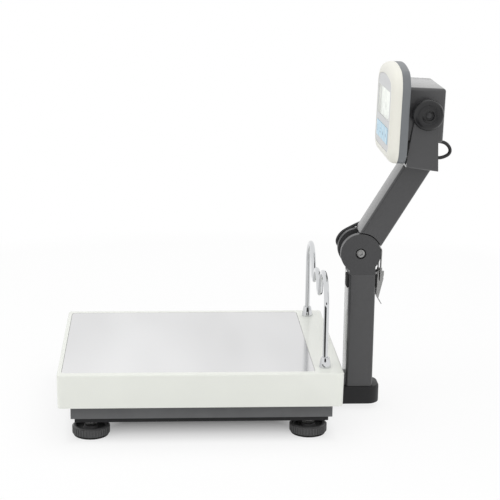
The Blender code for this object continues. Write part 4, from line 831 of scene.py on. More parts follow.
@dataclass
class Deck:
    """Lift-off lid with its stainless plate and its guard rail."""

    width: float = 300.0
    depth: float = 380.0
    top: float = 96.0
    skirt: float = 46.5
    sheet: float = 1.5
    corner: float = 5.0
    edge: float = 2.0
    rim_side: float = 10.0
    rim_front: float = 6.0
    rim_rear: float = 38.0
    recess: float = 1.5
    rail_x: float = 122.0
    rail_y: float = 167.0
    wire: float = 3.5
    arch: float = 38.0
    dip: float = 12.0
    high: float = 120.0
    middle: float = 102.0
    low: float = 79.0

    def build(self) -> None:
        """Make every piece of the deck."""
        self.lid()
        self.plate()
        self.rail()
        dress(STEEL, "rail_nut_left", "rail_nut_right")

    def lid(self) -> None:
        """Pressed lid: rounded outside, hollow below, with a shallow recess for the plate."""
        bottom = self.top - self.skirt
        lid = Work().block(half(self.width), half(self.depth), (bottom, self.top))
        lid.rounded(along(2), self.corner, 8).rounded(lying_at(2, self.top), self.edge, 5)
        lid.drawn_in(2, bottom, Vector((0.7, 0.7, 0.0)))
        under = self.top - self.recess - self.sheet
        inside = Work().block(half(self.width - 2 * self.sheet), half(self.depth - 2 * self.sheet),
                              (bottom - 1, under))
        inside.rounded(along(2), self.corner - self.sheet, 6)
        recess = Work().block(half(self.width - 2 * self.rim_side + 0.6),
                              (-self.depth / 2 + self.rim_front - 0.3, self.depth / 2 - self.rim_rear + 0.3),
                              (self.top - self.recess, self.top + 1))
        recess.rounded(along(2), 5.0, 8)
        band = Work().block(half(self.width - 12), (self.depth / 2 - self.rim_rear + 3, self.depth / 2 - 6),
                            (under - 2, self.top - self.sheet))
        holes = Work()
        for side in Side:
            holes.rod(3.05, 6, (side.value * self.rail_x, self.rail_y, self.top - 4), UP, 24)
        lid.joined(Joining.CUT, inside, recess, band, holes)
        lid.finish("deck_lid", DECK_PAINT, ("deck_cover",), edge=0.35)

    def plate(self) -> None:
        """Stainless weighing plate with a softened rim."""
        plate = Work().block(half(self.width - 2 * self.rim_side),
                             (-self.depth / 2 + self.rim_front, self.depth / 2 - self.rim_rear),
                             (self.top - self.recess, self.top - 0.3))
        plate.rounded(along(2), 4.7, 8)
        plate.finish("weighing_plate", PLATE_STEEL, ("deck_plate",), edge=0.35)

    def rail_line(self) -> list[Vector]:
        """Return the centre line of the rail: two high arches, two dips and a middle hump."""
        base = Vector((0, self.rail_y, self.top))
        arch_at = base + Vector((self.rail_x - self.arch, 0, self.high - self.arch))
        dip_z = self.top + self.low + self.dip
        reach = math.sqrt((self.arch + self.dip) ** 2 - (dip_z - arch_at.z) ** 2)
        dip_at = Vector((arch_at.x - reach, self.rail_y, dip_z))
        rise = self.top + self.middle - dip_z
        hump = (dip_at.x ** 2 + rise ** 2 - self.dip ** 2) / (2 * (rise + self.dip))
        hump_at = base + Vector((0, 0, self.middle - hump))
        arch_end = math.degrees(math.atan2(dip_at.z - arch_at.z, dip_at.x - arch_at.x))
        hump_start = math.degrees(math.atan2(dip_at.z - hump_at.z, dip_at.x - hump_at.x))
        points = [base + Vector((self.rail_x, 0, -1.0))]
        points += arc(arch_at, ACROSS, UP, self.arch, (0, arch_end), 40)[:-1]
        points += arc(dip_at, ACROSS, UP, self.dip, (arch_end - 180, hump_start - 180), 24)[:-1]
        points += arc(hump_at, ACROSS, UP, hump, (hump_start, 90), 16)
        return points + [Vector((-p.x, p.y, p.z)) for p in reversed(points[:-1])]

    def rail(self) -> None:
        """Chromed wire rail with a turned collar on each leg."""
        wire = Work().wire(self.rail_line(), self.wire, 6)
        for side in Side:
            foot = Vector((side.value * self.rail_x, self.rail_y, self.top))
            wire.turned(((0, 2.6), (0.5, 3.0), (12, 3.0)), foot - 12 * UP, UP, 24)
            profile = ((0, 3.6), (0, 8.1), (0.2, 8.2), (0.9, 8.2), (13.6, 5.7), (14.0, 5.3), (14.0, 3.6))
            Work().turned(profile, foot, UP, 64, ring=True).finish(
                "rail_collar_" + side.label, CHROME, ("rail_ferrule_" + side.label,), edge=0)
        wire.finish("rail_wire", CHROME, ("guard_rail",), edge=0)


@dataclass
class Base:
    """Welded channel frame, its bottom tray, the bending beam and the pan support."""

    rear: float = 177.0

    def build(self) -> None:
        """Make every piece of the base."""
        refine("base_frame", FRAME_PAINT, 1.0)
        refine("base_tray", BLACK_PLASTIC, 0.5)
        refine("load_cell", ALUMINIUM, 0.2)
        refine("pan_support", CAST_PAINT, 0.5)
        refine("column_bracket", COLUMN_PAINT, 0.5)
        dress(STEEL, *(f"load_cell_bolt_{number}" for number in range(1, 5)))
        dress(RUBBER, "pan_strip_left", "pan_strip_right")
        bolts = Work()
        for side in Side:
            for z in (39.0, 52.5):
                button_screw(bolts, Vector((side.value * 38.0, self.rear + 4.0, z)), REARWARD, 4.6, 2.8)
        bolts.finish("bracket_screws", STEEL, body="base", edge=0)


@dataclass
class Foot:
    """Levelling foot: a ribbed wheel with its threaded stud, on a rubber sole."""

    label: str
    x: float
    y: float
    wheel: float = 25.5
    bottom: float = 2.5
    height: float = 12.0
    sole: float = 23.5
    stud: float = 5.0
    stud_top: float = 52.0
    ribs: int = 40

    def build(self) -> None:
        """Make the wheel, the stud, the lock nut and the sole."""
        node = "foot_" + self.label
        body = body_of(node + "_wheel")
        self.ribbed_wheel().finish(node + "_handwheel", FOOT_PLASTIC, (node + "_wheel",), edge=0.25)
        self.thread().finish(node + "_stud", STEEL, body=body, edge=0)
        nut = Work().turned(((0, 8.6), (0.5, 9.2), (4.1, 9.2), (4.6, 8.6)), (self.x, self.y, 15.0), UP, 6)
        bore = Work().rod(5.2, 8, (self.x, self.y, 13.5), UP, 24)
        nut.joined(Joining.CUT, bore).finish(node + "_lock_nut", STEEL, body=body, edge=0.3)
        profile = ((0, 20.5), (0, 22.3), (0.3, 23.0), (0.9, self.sole), (2.1, self.sole),
                   (2.45, 23.1), (2.45, 3.4),
                   (5.9, 3.4))
        sole = Work().turned(profile, (self.x, self.y, 0), UP, 64)
        sole.finish(node + "_pad", RUBBER, (node + "_sole",), edge=0)

    def ribbed_wheel(self) -> Work:
        """Return the wheel: a dished disc whose rim carries upright ribs."""
        inner = self.wheel - 1.2
        profile = ((0.0, inner - 1.4), (0.9, inner), (self.height - 1.2, inner), (self.height, inner - 1.3),
                   (self.height, 20.6), (self.height - 0.5, 20.0), (8.6, 19.6), (8.0, 18.8), (8.0, 10.8),
                   (8.5, 10.0), (11.0, 9.6), (11.5, 9.0), (11.5, 4.9), (8.0, 4.9))
        work = Work().turned(profile, (self.x, self.y, self.bottom), UP, self.ribs * 2)
        centre = Vector((self.x, self.y, 0))
        band = []
        for face in work.bm.faces:
            out = face.calc_center_median() - centre
            flat = Vector((out.x, out.y))
            if flat.length > inner - 0.2 and abs(face.normal.z) < 0.1:
                turn = math.atan2(out.y, out.x) / (2 * math.pi) * self.ribs * 2
                if math.floor(turn) % 2 == 0:
                    band.append(face)
        made = bmesh.ops.extrude_discrete_faces(work.bm, faces=band)["faces"]
        for face in made:
            out = face.calc_center_median() - centre
            out.z = 0.0
            bmesh.ops.translate(work.bm, vec=out.normalized() * 1.15, verts=face.verts)
            bmesh.ops.scale(work.bm, vec=(1, 1, 0.93), verts=face.verts,
                            space=Matrix.Translation(-face.calc_center_median()))
        return work

    def thread(self) -> Work:
        """Return the stud with its rolled thread."""
        low = 12.0
        core = self.stud - 0.5
        profile = [(0.0, core)]
        run = 0.0
        length = self.stud_top - low
        while run < length - 2.0:
            profile += [(run + 0.3, core), (run + 0.6, self.stud), (run + 0.9, self.stud), (run + 1.2, core)]
            run += 1.25
        profile += [(length - 0.6, core), (length, self.stud - 1.2)]
        return Work().turned(profile, (self.x, self.y, low), UP, 24)


@dataclass
class Column:
    """Upright tube with its boot, the cheek casting of the fold joint and the pivot bolt."""

    bottom: float = 14.0
    top: float = 197.0
    wall: float = 3.0
    corner: float = 3.5
    cheek: float = 28.0
    gap: float = 12.5
    shoulder: float = 201.0
    boot_front: float = 193.0
    boot_back: float = 258.0

    def build(self) -> None:
        """Make every piece of the column."""
        self.tube()
        self.boot()
        self.casting()
        self.bolt()
        self.pads()

    def tube(self) -> None:
        """Rounded tube with its cable entry."""
        tube = Work().block(half(TUBE_W), half(COLUMN_D, COLUMN_Y), (self.bottom, self.top))
        tube.rounded(along(2), self.corner, 6)
        across = half(TUBE_W - 2 * self.wall)
        bore = Work().block(across, half(COLUMN_D - 2 * self.wall, COLUMN_Y), (0, self.top + 5))
        bore.rounded(along(2), 1.0, 3)
        notch = Work().block(across, (COLUMN_Y - COLUMN_D, COLUMN_Y - 10), (-2, 45.4))
        entry = Work().rod(PIN_HOLE, 8, (-TUBE_W / 2 - 2, COLUMN_Y, RING_Z), ACROSS)
        tube.joined(Joining.CUT, bore, notch, entry)
        tube.finish("column_tube", COLUMN_PAINT, ("lower_column",), edge=0.35)

    def boot(self) -> None:
        """Moulded cover round the foot of the tube, rounded at the back."""
        boot = Work().block((-26.0, 26.0), (self.boot_front, self.boot_back), (BOOT_BOTTOM, BOOT_TOP))
        at_back = lying_at(1, self.boot_back)
        upright = along(2)
        boot.rounded(lambda edge: upright(edge) and at_back(edge), 18.0, 12)
        boot.rounded(lying_at(2, BOOT_TOP), 3.0, 5).rounded(lying_at(2, BOOT_BOTTOM), 1.2, 3)
        tube_gap = Work().block(half(TUBE_W + 0.6), half(COLUMN_D + 0.6, COLUMN_Y), (10.5, 40))
        arm_gap = Work().block((-20, 20), (180, COLUMN_Y - 10), (30.7, 50))
        boot.joined(Joining.CUT, tube_gap, arm_gap)
        boot.finish("column_boot_shell", BLACK_PLASTIC, ("column_boot",))

    def casting(self) -> None:
        """Plug, shoulder and two round cheeks with the seats of the bolt and its nut."""
        casting = Work().rod(self.cheek, TUBE_W, PIVOT - ACROSS * (TUBE_W / 2), ACROSS, 128)
        neck = Work().block(half(TUBE_W - 0.02), half(COLUMN_D - 2, COLUMN_Y), (self.top + 0.1, PIVOT.z))
        plug = Work().block(half(TUBE_W - 6.6), half(COLUMN_D - 6.6, COLUMN_Y), (172, self.top + 2))
        casting.joined(Joining.ADD, neck, plug)
        gap = Work().block((-self.gap, self.gap), half(80, PIVOT.y), (self.shoulder, PIVOT.z + 40))
        bore = Work().rod(PIN_HOLE, 80, PIVOT - ACROSS * 40, ACROSS)
        head_seat = Work().rod(7.5, 10, PIVOT + ACROSS * 17.5, ACROSS, 48)
        nut_seat = Work().rod(9.0, 10, PIVOT - ACROSS * 16.5, -ACROSS, 48)
        casting.joined(Joining.CUT, gap, bore, head_seat, nut_seat)
        casting.finish("fold_cheeks", CAST_PAINT, ("column_hinge",), edge=0.7)

    def bolt(self) -> None:
        """Socket bolt through the joint, and its nut."""
        profile = ((0, 3.4), (0.6, 4.0), (39.05, 4.0), (39.05, 5.9), (39.3, 6.0), (41.7, 6.0), (42.4, 5.6),
                   (42.6, 5.0))
        bolt = Work().turned(profile, PIVOT - ACROSS * 21.5, ACROSS, 48)
        socket = Work().rod(2.9, 4, PIVOT + ACROSS * 18.9, ACROSS, 6)
        bolt.joined(Joining.CUT, socket).finish("fold_bolt", STEEL, ("pivot_bolt",), edge=0.12)
        profile = ((0, 6.8), (0.5, 7.5), (4.15, 7.5), (4.65, 6.8))
        nut = Work().turned(profile, PIVOT - ACROSS * 21.2, ACROSS, 6)
        hole = Work().rod(PIN_HOLE, 10, PIVOT - ACROSS * 24, ACROSS)
        nut.joined(Joining.CUT, hole).finish("fold_nut", STEEL, ("pivot_nut",), edge=0.25)

    def pads(self) -> None:
        """Soft buffers on the front and back of the tube's top, beside the latch and the cable."""
        for label, out, low in (("front", -1, 3.0), ("back", 1, 12.5)):
            y = COLUMN_Y + out * COLUMN_D / 2
            pad = Work().block((low, 21.0), tuple(sorted((y - out * 0.05, y + out * 2.4))), (178.0, 196.4))
            pad.finish("tube_buffer_" + label, RUBBER, body="base", edge=0.6)


@dataclass
class Arm:
    """Leaning tube with its tongue, keeper and cap, and the bent yoke on its top."""

    depth: float = 36.0
    wall: float = 3.0
    corner: float = 3.5
    scoop: float = 29.5
    yoke_half: float = 62.0
    yoke_rear: float = 320.6
    eye: float = 15.0

    def build(self) -> None:
        """Make every piece of the arm."""
        self.tube()
        self.yoke()
        refine("arm_hinge", CAST_PAINT, 0.3)
        refine("latch_keeper", STEEL, 0.2)
        dress(CAST_PAINT, "arm_cap")
        screws = Work()
        for side in Side:
            for y in (288.5, 314.0):
                seat = Vector((side.value * 14.0, y, yoke_line(y))) + yoke_up() * YOKE_T
                button_screw(screws, seat, yoke_up(), 4.0, 2.3)
        screws.finish("yoke_screws", STEEL, body="arm", edge=0)

    def tube(self) -> None:
        """Tube scooped round the joint at its foot and cut along the yoke's plate at its top."""
        tube = Work().block(half(TUBE_W), half(self.depth, ARM_OFFSET), (8, 190))
        tube.rounded(along(2), self.corner, 6).placed(onto_arm())
        bore = Work().block(half(TUBE_W - 2 * self.wall), half(self.depth - 2 * self.wall, ARM_OFFSET),
                            (0, 200))
        bore.rounded(along(2), 1.0, 3).placed(onto_arm())
        scoop = Work().rod(self.scoop, 80, PIVOT - ACROSS * 40, ACROSS, 128)
        front = YOKE_FRONT - 60
        rear = self.yoke_rear + 80
        beyond = 480
        outline = ((front, yoke_line(front) - 0.05), (rear, yoke_line(rear) - 0.05), (rear, beyond),
                   (front, beyond))
        over = Work().slab(outline, (-60, 60))
        entry = Work().rod(PIN_HOLE, 8, arm_point(RING_S, ARM_OFFSET, -TUBE_W / 2 - 2), ACROSS)
        tube.joined(Joining.CUT, bore, scoop, over, entry)
        tube.finish("arm_tube", COLUMN_PAINT, ("upper_arm",), edge=0.35)

    def touch(self, point: tuple[float, float], side: int) -> tuple[float, float]:
        """Return where the line from a point touches the eye's circle."""
        away = Vector((point[0] - TILT_AXIS.y, point[1] - TILT_AXIS.z))
        angle = math.atan2(away.y, away.x) + side * math.acos(self.eye / away.length)
        return (TILT_AXIS.y + self.eye * math.cos(angle), TILT_AXIS.z + self.eye * math.sin(angle))

    def yoke(self) -> None:
        """Bent bracket: a base plate and two arms that rise to the tilt axis."""
        front = (YOKE_FRONT, yoke_line(YOKE_FRONT))
        rear = (self.yoke_rear, yoke_line(self.yoke_rear))
        work = Work().slab((front, rear, (rear[0], rear[1] + YOKE_T), (front[0], front[1] + YOKE_T)),
                           half(2 * self.yoke_half))
        foot = (YOKE_FRONT + 0.8, 368.0)
        sides = []
        eyes = []
        for side in Side:
            x = tuple(sorted((side.value * (self.yoke_half - YOKE_T), side.value * self.yoke_half)))
            sides.append(Work().slab((foot, front, rear, self.touch(rear, 1), self.touch(foot, -1)), x))
            eyes.append(Work().turned(((0.01, self.eye), (YOKE_T - 0.01, self.eye)),
                                      TILT_AXIS + ACROSS * x[0], ACROSS, 96))
        work.joined(Joining.ADD, *sides)
        lean = Vector((0.0, 1.0, YOKE_SLOPE)).normalized()

        def is_bend(edge: bmesh.types.BMEdge) -> bool:
            """Whether the edge is the outer bend line of the sheet."""
            run = edge.verts[1].co - edge.verts[0].co
            middle = (edge.verts[0].co + edge.verts[1].co) / 2
            outer = abs(abs(middle.x) - self.yoke_half) < 0.01
            return outer and abs(run.normalized().dot(lean)) > 0.999 and middle.z < yoke_line(middle.y) + 0.1

        work.rounded(is_bend, 2.8, 5)
        work.joined(Joining.ADD, *eyes)
        axis_hole = Work().rod(PIN_HOLE, 160, TILT_AXIS - ACROSS * 80, ACROSS)
        cable_hole = Work().rod(RING_HOLE, 12, yoke_seat() - 4 * yoke_up(), yoke_up())
        work.joined(Joining.CUT, axis_hole, cable_hole)
        work.finish("yoke_bracket", COLUMN_PAINT, ("yoke",), edge=0.45)


@dataclass
class Latch:
    """Over-centre toggle at the back of the joint: base, lever and wire loop."""

    foot: Vector = Vector((0.0, 254.5, 186.0)).freeze()
    top: Vector = Vector((0.0, 255.4, 229.7)).freeze()
    wire: float = 1.2
    corner: float = 3.0
    reach: float = 11.2
    inner: float = 7.8

    def build(self) -> None:
        """Make every piece of the latch."""
        refine("latch_base", STEEL, 0.25)
        refine("latch_lever", STEEL, 0.3)
        up = (self.top - self.foot).normalized()
        bend = -ACROSS * (self.reach - self.corner)
        line = [self.foot - ACROSS * self.inner, self.foot + bend]
        line += arc(self.foot + bend + up * self.corner, -ACROSS, -up, self.corner, (90, 0), 6)
        line += arc(self.top + bend - up * self.corner, -ACROSS, up, self.corner, (0, 90), 8)
        mirrored = [Vector((-p.x, p.y, p.z)) for p in reversed(line)]
        loop = Work().wire(line + mirrored, self.wire, 4)
        loop.finish("latch_wire", STEEL, ("latch_bail",), edge=0)


@dataclass
class Head:
    """Display head: cream bezel, grey rear frame, housing, face, display and keys."""

    half_width: float = 70.0
    top: float = 60.9
    bottom: float = -70.0
    corner: float = 28.0
    low_corner: float = 22.0
    crown: float = 220.0
    front: float = -49.9
    seam: float = -36.1
    back: float = -25.0
    shell: float = 2.5
    face_y: float = -49.6
    face_t: float = 1.6
    face_half: float = 58.0
    face_top: float = 45.0
    face_bottom: float = -55.0
    lcd_half: float = 50.0
    lcd_top: float = 26.0
    lcd_bottom: float = -14.0
    key_pitch: float = 24.0
    key_width: float = 21.5
    key_top: float = -24.0
    key_bottom: float = -45.5
    housing_half: float = 57.0
    housing_top: float = 34.5
    housing_bottom: float = -40.0
    housing_back: float = 25.0
    gland_y: float = 15.0

    def build(self) -> None:
        """Make every piece of the head."""
        self.bezel()
        self.frame()
        self.housing()
        self.face()
        self.keys()
        self.gland()
        refine("circuit_board", BOARD, 0.0)
        dress(RUBBER, "keypad_mat")
        dress(WRAP, "battery_pack")
        dress(LCD_GREY, "lcd_panel")

    def shell_block(self, y: Span, inset: float = 0.0) -> Work:
        """Return a block with the head's rounded outline, drawn in by an inset."""
        return Work().panel(crowned_outline(self.half_width, self.bottom, self.top, self.crown, self.corner,
                                            self.low_corner, inset), y)

    def face_panel(self, y: Span, inset: float = 0.0) -> Work:
        """Return a flat body with the face's outline, drawn in by an inset."""
        return Work().panel(crowned_outline(self.face_half, self.face_bottom, self.face_top,
                                            self.crown - 12, 14.0,
                                            9.0, inset), y)

    def bezel(self) -> None:
        """Front moulding with big soft edges round the recessed face."""
        bezel = self.shell_block((self.front, self.seam - 0.05))
        bezel.rounded(lying_at(1, self.front), 12.0, 10)
        hollow = self.shell_block((-43.5, self.seam + 2), self.shell + 1.5)
        opening = self.face_panel((-60, self.face_y + self.face_t + 0.4), -0.3)
        well = self.face_panel((-60, -40), 2.5)
        bezel.joined(Joining.CUT, hollow, opening, well).placed(onto_head())
        bezel.finish("bezel_moulding", CREAM, ("display_bezel",), edge=0.5)

    def frame(self) -> None:
        """Grey rear moulding, open to the housing, with its four posts."""
        rear = self.shell_block((self.seam + 0.05, self.back))
        rear.rounded(lying_at(1, self.back), 1.6, 4)
        hollow = self.shell_block((self.seam - 2, self.back - self.shell), self.shell)
        window = Work().block(half(2 * self.housing_half - 14), (-40, 0),
                              (self.housing_bottom + 7, self.housing_top - 7))
        rear.joined(Joining.CUT, hollow, window)
        posts = []
        profile = ((0, 3.5), (9.65, 3.5), (9.65, 1.5), (12.7, 1.4))
        for x in (-54, 54):
            for z in (-50.0, 41.0):
                posts.append(Work().turned(profile, (x, -26.5, z), -REARWARD, 24))
        rear.joined(Joining.ADD, *posts).placed(onto_head())
        rear.finish("rear_moulding", GREY_PLASTIC, ("display_frame",), edge=0.45)

    def housing(self) -> None:
        """Dark box behind the frame with rounded back edges."""
        z = (self.housing_bottom, self.housing_top)
        box = Work().block(half(2 * self.housing_half), (self.back + 0.05, self.housing_back), z)
        box.drawn_in(1, self.housing_back, Vector((0.8, 0.0, 0.8)))
        box.rounded(lambda edge: abs((edge.verts[1].co - edge.verts[0].co).y) > 20, 4.0, 6)
        box.rounded(lying_at(1, self.housing_back), 6.0, 7)
        inside = Work().block(half(2 * self.housing_half - 7), (-40, self.housing_back - 3),
                              (self.housing_bottom + 3.5, self.housing_top - 3.5))
        cuts = [inside]
        for side in Side:
            start = (side.value * (self.housing_half + 8), 0, 0)
            cuts.append(Work().rod(PIN_HOLE, 18, start, ACROSS * -side.value))
        cuts.append(Work().rod(RING_HOLE, 16, (0, self.gland_y, self.housing_bottom + 8), -UP))
        box.joined(Joining.CUT, *cuts).placed(onto_head())
        box.finish("rear_housing", HOUSING_PAINT, ("display_housing",), edge=0.4)

    def face(self) -> None:
        """Front sheet with its openings, and the clear window in it."""
        plate = self.face_panel((self.face_y, self.face_y + self.face_t))
        window = Work().block(half(2 * self.lcd_half), (-60, -40), (self.lcd_bottom, self.lcd_top))
        window.rounded(along(1), 1.5, 4)
        cuts = [window]
        for x in self.key_places():
            hole = Work().block(half(self.key_width + 0.6, x), (-60, -40),
                                (self.key_bottom - 0.3, self.key_top + 0.3))
            cuts.append(hole.rounded(along(1), 1.8, 4))
        plate.joined(Joining.CUT, *cuts).placed(onto_head())
        plate.finish("face_sheet", FACE_FILM, ("face_plate",), edge=0.15)
        glass = Work().block(half(2 * self.lcd_half - 0.1), (self.face_y + 0.1, self.face_y + self.face_t),
                             (self.lcd_bottom + 0.05, self.lcd_top - 0.05))
        glass.rounded(along(1), 1.4, 4).placed(onto_head())
        glass.finish("window_pane", LCD_GLASS, ("lcd_window",), edge=0.15)

    def key_places(self) -> list[float]:
        """Return the middle of each key."""
        return [(i - 1.5) * self.key_pitch for i in range(4)]

    def keys(self) -> None:
        """Push keys with soft rims."""
        for number, x in enumerate(self.key_places(), 1):
            front = self.face_y - 0.9
            key = Work().block(half(self.key_width, x), (front, -46.8), (self.key_bottom, self.key_top))
            key.rounded(along(1), 1.6, 5).rounded(lying_at(1, front), 0.8, 4)
            flange = Work().block(half(self.key_width + 1.6, x), (-47.5, -46.5),
                                  (self.key_bottom - 0.8, self.key_top + 0.8))
            key.joined(Joining.ADD, flange).placed(onto_head())
            key.finish(f"key_cap_{number}", KEY_BLUE, (f"key_{number}",), edge=0.12)
            mark = self.mark(KeyMark(number), x, (self.key_top + self.key_bottom) / 2).placed(onto_head())
            mark.finish(f"key_sign_{number}", KEY_PRINT, body=body_of(f"key_{number}"), edge=0)

    def mark(self, kind: KeyMark, x: float, z: float) -> Work:
        """Return a key's plain sign as a thin raised print about a point of its face."""
        y = self.face_y - 0.92
        thick = 0.06
        work = Work()
        if kind is KeyMark.RING:
            profile = ((0.0, 3.3), (thick, 3.3), (thick, 4.2), (0.0, 4.2))
            return work.turned(profile, (x, y, z), REARWARD, 40, ring=True)
        if kind is KeyMark.DOT:
            return work.rod(2.6, thick, (x, y, z), REARWARD)
        if kind is KeyMark.BARS:
            for shift in (-2.4, 2.4):
                work.block(half(8.0, x), (y, y + thick), half(1.4, z + shift))
            return work
        return work.panel(((x - 4.2, z - 3.0), (x + 4.2, z - 3.0), (x, z + 3.6)), (y, y + thick))

    def gland(self) -> None:
        """Ribbed strain relief under the housing."""
        profile = ((-4.5, 2.5), (-4.5, 5.0), (0.0, 5.0), (0.0, 7.0), (0.5, 7.0), (1.4, 6.7), (1.6, 5.6),
                   (2.2, 5.4), (2.4, 6.0), (3.0, 5.8), (3.2, 4.9), (3.8, 4.7), (4.0, 5.1), (4.7, 4.7),
                   (5.0, 4.2), (5.0, 2.5))
        gland = Work().turned(profile, (0, self.gland_y, self.housing_bottom), -UP, 48, ring=True)
        gland.placed(onto_head()).finish("strain_relief", BLACK_PLASTIC, ("cable_gland",), edge=0)


@dataclass
class Knob:
    """Clamping knob with a dished face and its steel stud."""

    side: Side
    start: float = 62.2

    def build(self) -> None:
        """Make the knob and its stud."""
        label = self.side.label
        axis = ACROSS * self.side.value
        seat = TILT_AXIS + axis * self.start
        profile = ((0.0, 3.9), (0.0, 10.9), (0.5, 11.5), (3.0, 12.4), (3.8, 14.0), (4.7, 18.8), (5.4, 20.3),
                   (6.4, 20.9), (7.4, 21.0), (9.5, 20.9), (11.6, 20.4), (13.4, 19.3), (14.9, 17.6),
                   (15.9, 15.6), (16.3, 13.9), (16.1, 12.2), (15.6, 10.6), (15.5, 9.8), (16.0, 9.0),
                   (16.7, 8.4), (17.0, 7.7),
                   (16.8, 6.9), (15.8, 6.6), (13.2, 6.2), (13.0, 5.8), (13.0, 3.9))
        knob = Work().turned(profile, seat, axis, 96, ring=True)
        knob.finish("knob_grip_" + label, KNOB_PLASTIC, ("knob_" + label,), edge=0)
        profile = ((0, 3.4), (0.6, 3.95), (27.6, 3.95), (27.9, 3.7), (28.1, 3.0))
        stud = Work().turned(profile, TILT_AXIS + axis * 47.6, axis, 32)
        stud.finish("knob_stud_" + label, DARK_STEEL, body=body_of("knob_" + label), edge=0)


@dataclass
class Cables:
    """Signal cable in its two runs, with the rubber rings it passes through."""

    side_x: float = -27.5

    def build(self) -> None:
        """Make both runs and the three rings."""
        self.rings()
        lower = Work().wire(self.lower_line(), CABLE_R, 5)
        low = lower.finish("cable_run_lower", JACKET, ("signal_cable_lower",), edge=0, drawn=False)
        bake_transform(low)
        upper = Work().wire(self.upper_line(), CABLE_R, 5)
        high = upper.finish("cable_run_upper", JACKET, ("signal_cable_upper",), edge=0, drawn=False)
        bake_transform(high)

    def lower_line(self) -> list[Vector]:
        """Return the run from the bending beam up the column and past the joint to the arm."""
        y = COLUMN_Y
        inner = [(0, 65.3, 56), (0, 70, 56), (0, 79, 56), (0, 110, 40), (0, 150, 38), (0, y - 14, 38),
                 (0, y - 3, 42), (0, y, 58), (0, y, 100), (0, y, 130), (-5, y, 147), (-16, y, RING_Z),
                 (-19, y, RING_Z)]
        x = self.side_x
        start = Vector((-TUBE_W / 2 - 1.6, y, RING_Z))
        end = arm_point(RING_S, ARM_OFFSET, -TUBE_W / 2 - 1.6)
        loop = [start, start - ACROSS * 1.5, (x - 0.6, 227.6, 152.6), (x - 1.5, 226, 160), (x - 2, 221, 178),
                (x - 1, 214, 203), (x, 203, 222), (x, 197.5, 234), (x, 204, 246), (x, 219, 255),
                (x - 1.5, 238, 264),
                (x - 2, 254, 276), end + Vector((-4.4, -3.0, -5.0)), end - ACROSS * 1.5, end]
        return smooth_curve(inner + loop, 7)

    def upper_line(self) -> list[Vector]:
        """Return the run from the arm's ring through the yoke and round to the gland."""
        run = ((RING_S, -TUBE_W / 2 - 1.5), (RING_S, -19), (RING_S, -16), (76, -5), (90, 0),
               (120, 0), (138, 0))
        inside = [arm_point(s, ARM_OFFSET, x) for s, x in run]
        top = yoke_seat() + yoke_up() * YOKE_T
        start = top + yoke_up() * 1.6
        end = head_point(0, 15.0, -45.1)
        loop = [start, start + yoke_up() * 1.5, (0, 310, 362.4), (0, 322, 359.0), (0, 336, 359.0),
                (0, 346, 364),
                (0, 347.3, 371.5), (0, 341, 379), (0, 330, 381.6), (0, 320.5, 380.2), end - 1.4 * UP, end]
        return smooth_curve(inside + [top - yoke_up() * 8, top - yoke_up() * 5] + loop, 8)

    def rings(self) -> None:
        """Rubber rings in the column, the arm and the yoke."""
        for name, centre, axis, radius in (
                ("column_grommet", Vector((-TUBE_W / 2, COLUMN_Y, RING_Z)), -ACROSS, 4.0),
                ("arm_grommet", arm_point(RING_S, ARM_OFFSET, -TUBE_W / 2), -ACROSS, 4.0),
                ("yoke_grommet", yoke_seat() + yoke_up() * YOKE_T, yoke_up(), 5.0)):
            profile = ((-3.0, 2.5), (-3.0, radius - 0.2), (-2.8, radius), (0.02, radius),
                       (0.02, radius + 1.6), (0.3, radius + 1.8), (0.9, radius + 1.7),
                       (1.3, radius + 1.3), (1.4, radius + 0.6), (1.4, 2.9),
                       (1.1, 2.5))
            ring = Work().turned(profile, centre, axis, 48, ring=True)
            ring.finish("ring_" + name, RUBBER, (name,), edge=0)


def aimed(place: Colour, target: Colour, front: str) -> Matrix:
    """Return the placing of a thing at a place whose front axis looks at a target."""
    aim = (Vector(target) - Vector(place)).to_track_quat(front, "Y")
    return Matrix.Translation(place) @ aim.to_matrix().to_4x4()


def stage_sheet(name: str, wide: float, high: float) -> bpy.types.Object:
    """Return a flat sheet of the studio about the origin."""
    bm = bmesh.new()
    bmesh.ops.create_grid(bm, x_segments=1, y_segments=1, size=0.5)
    bmesh.ops.scale(bm, vec=(wide, high, 1.0), verts=bm.verts)
    mesh = bpy.data.meshes.new(name)
    bm.to_mesh(mesh)
    bm.free()
    sheet = bpy.data.objects.new(name, mesh)
    bpy.context.scene.collection.objects.link(sheet)
    return sheet


def bare_graph(tree: bpy.types.NodeTree) -> Graph:
    """Empty a tree of its nodes and return its graph."""
    tree.nodes.clear()
    return Graph(tree)


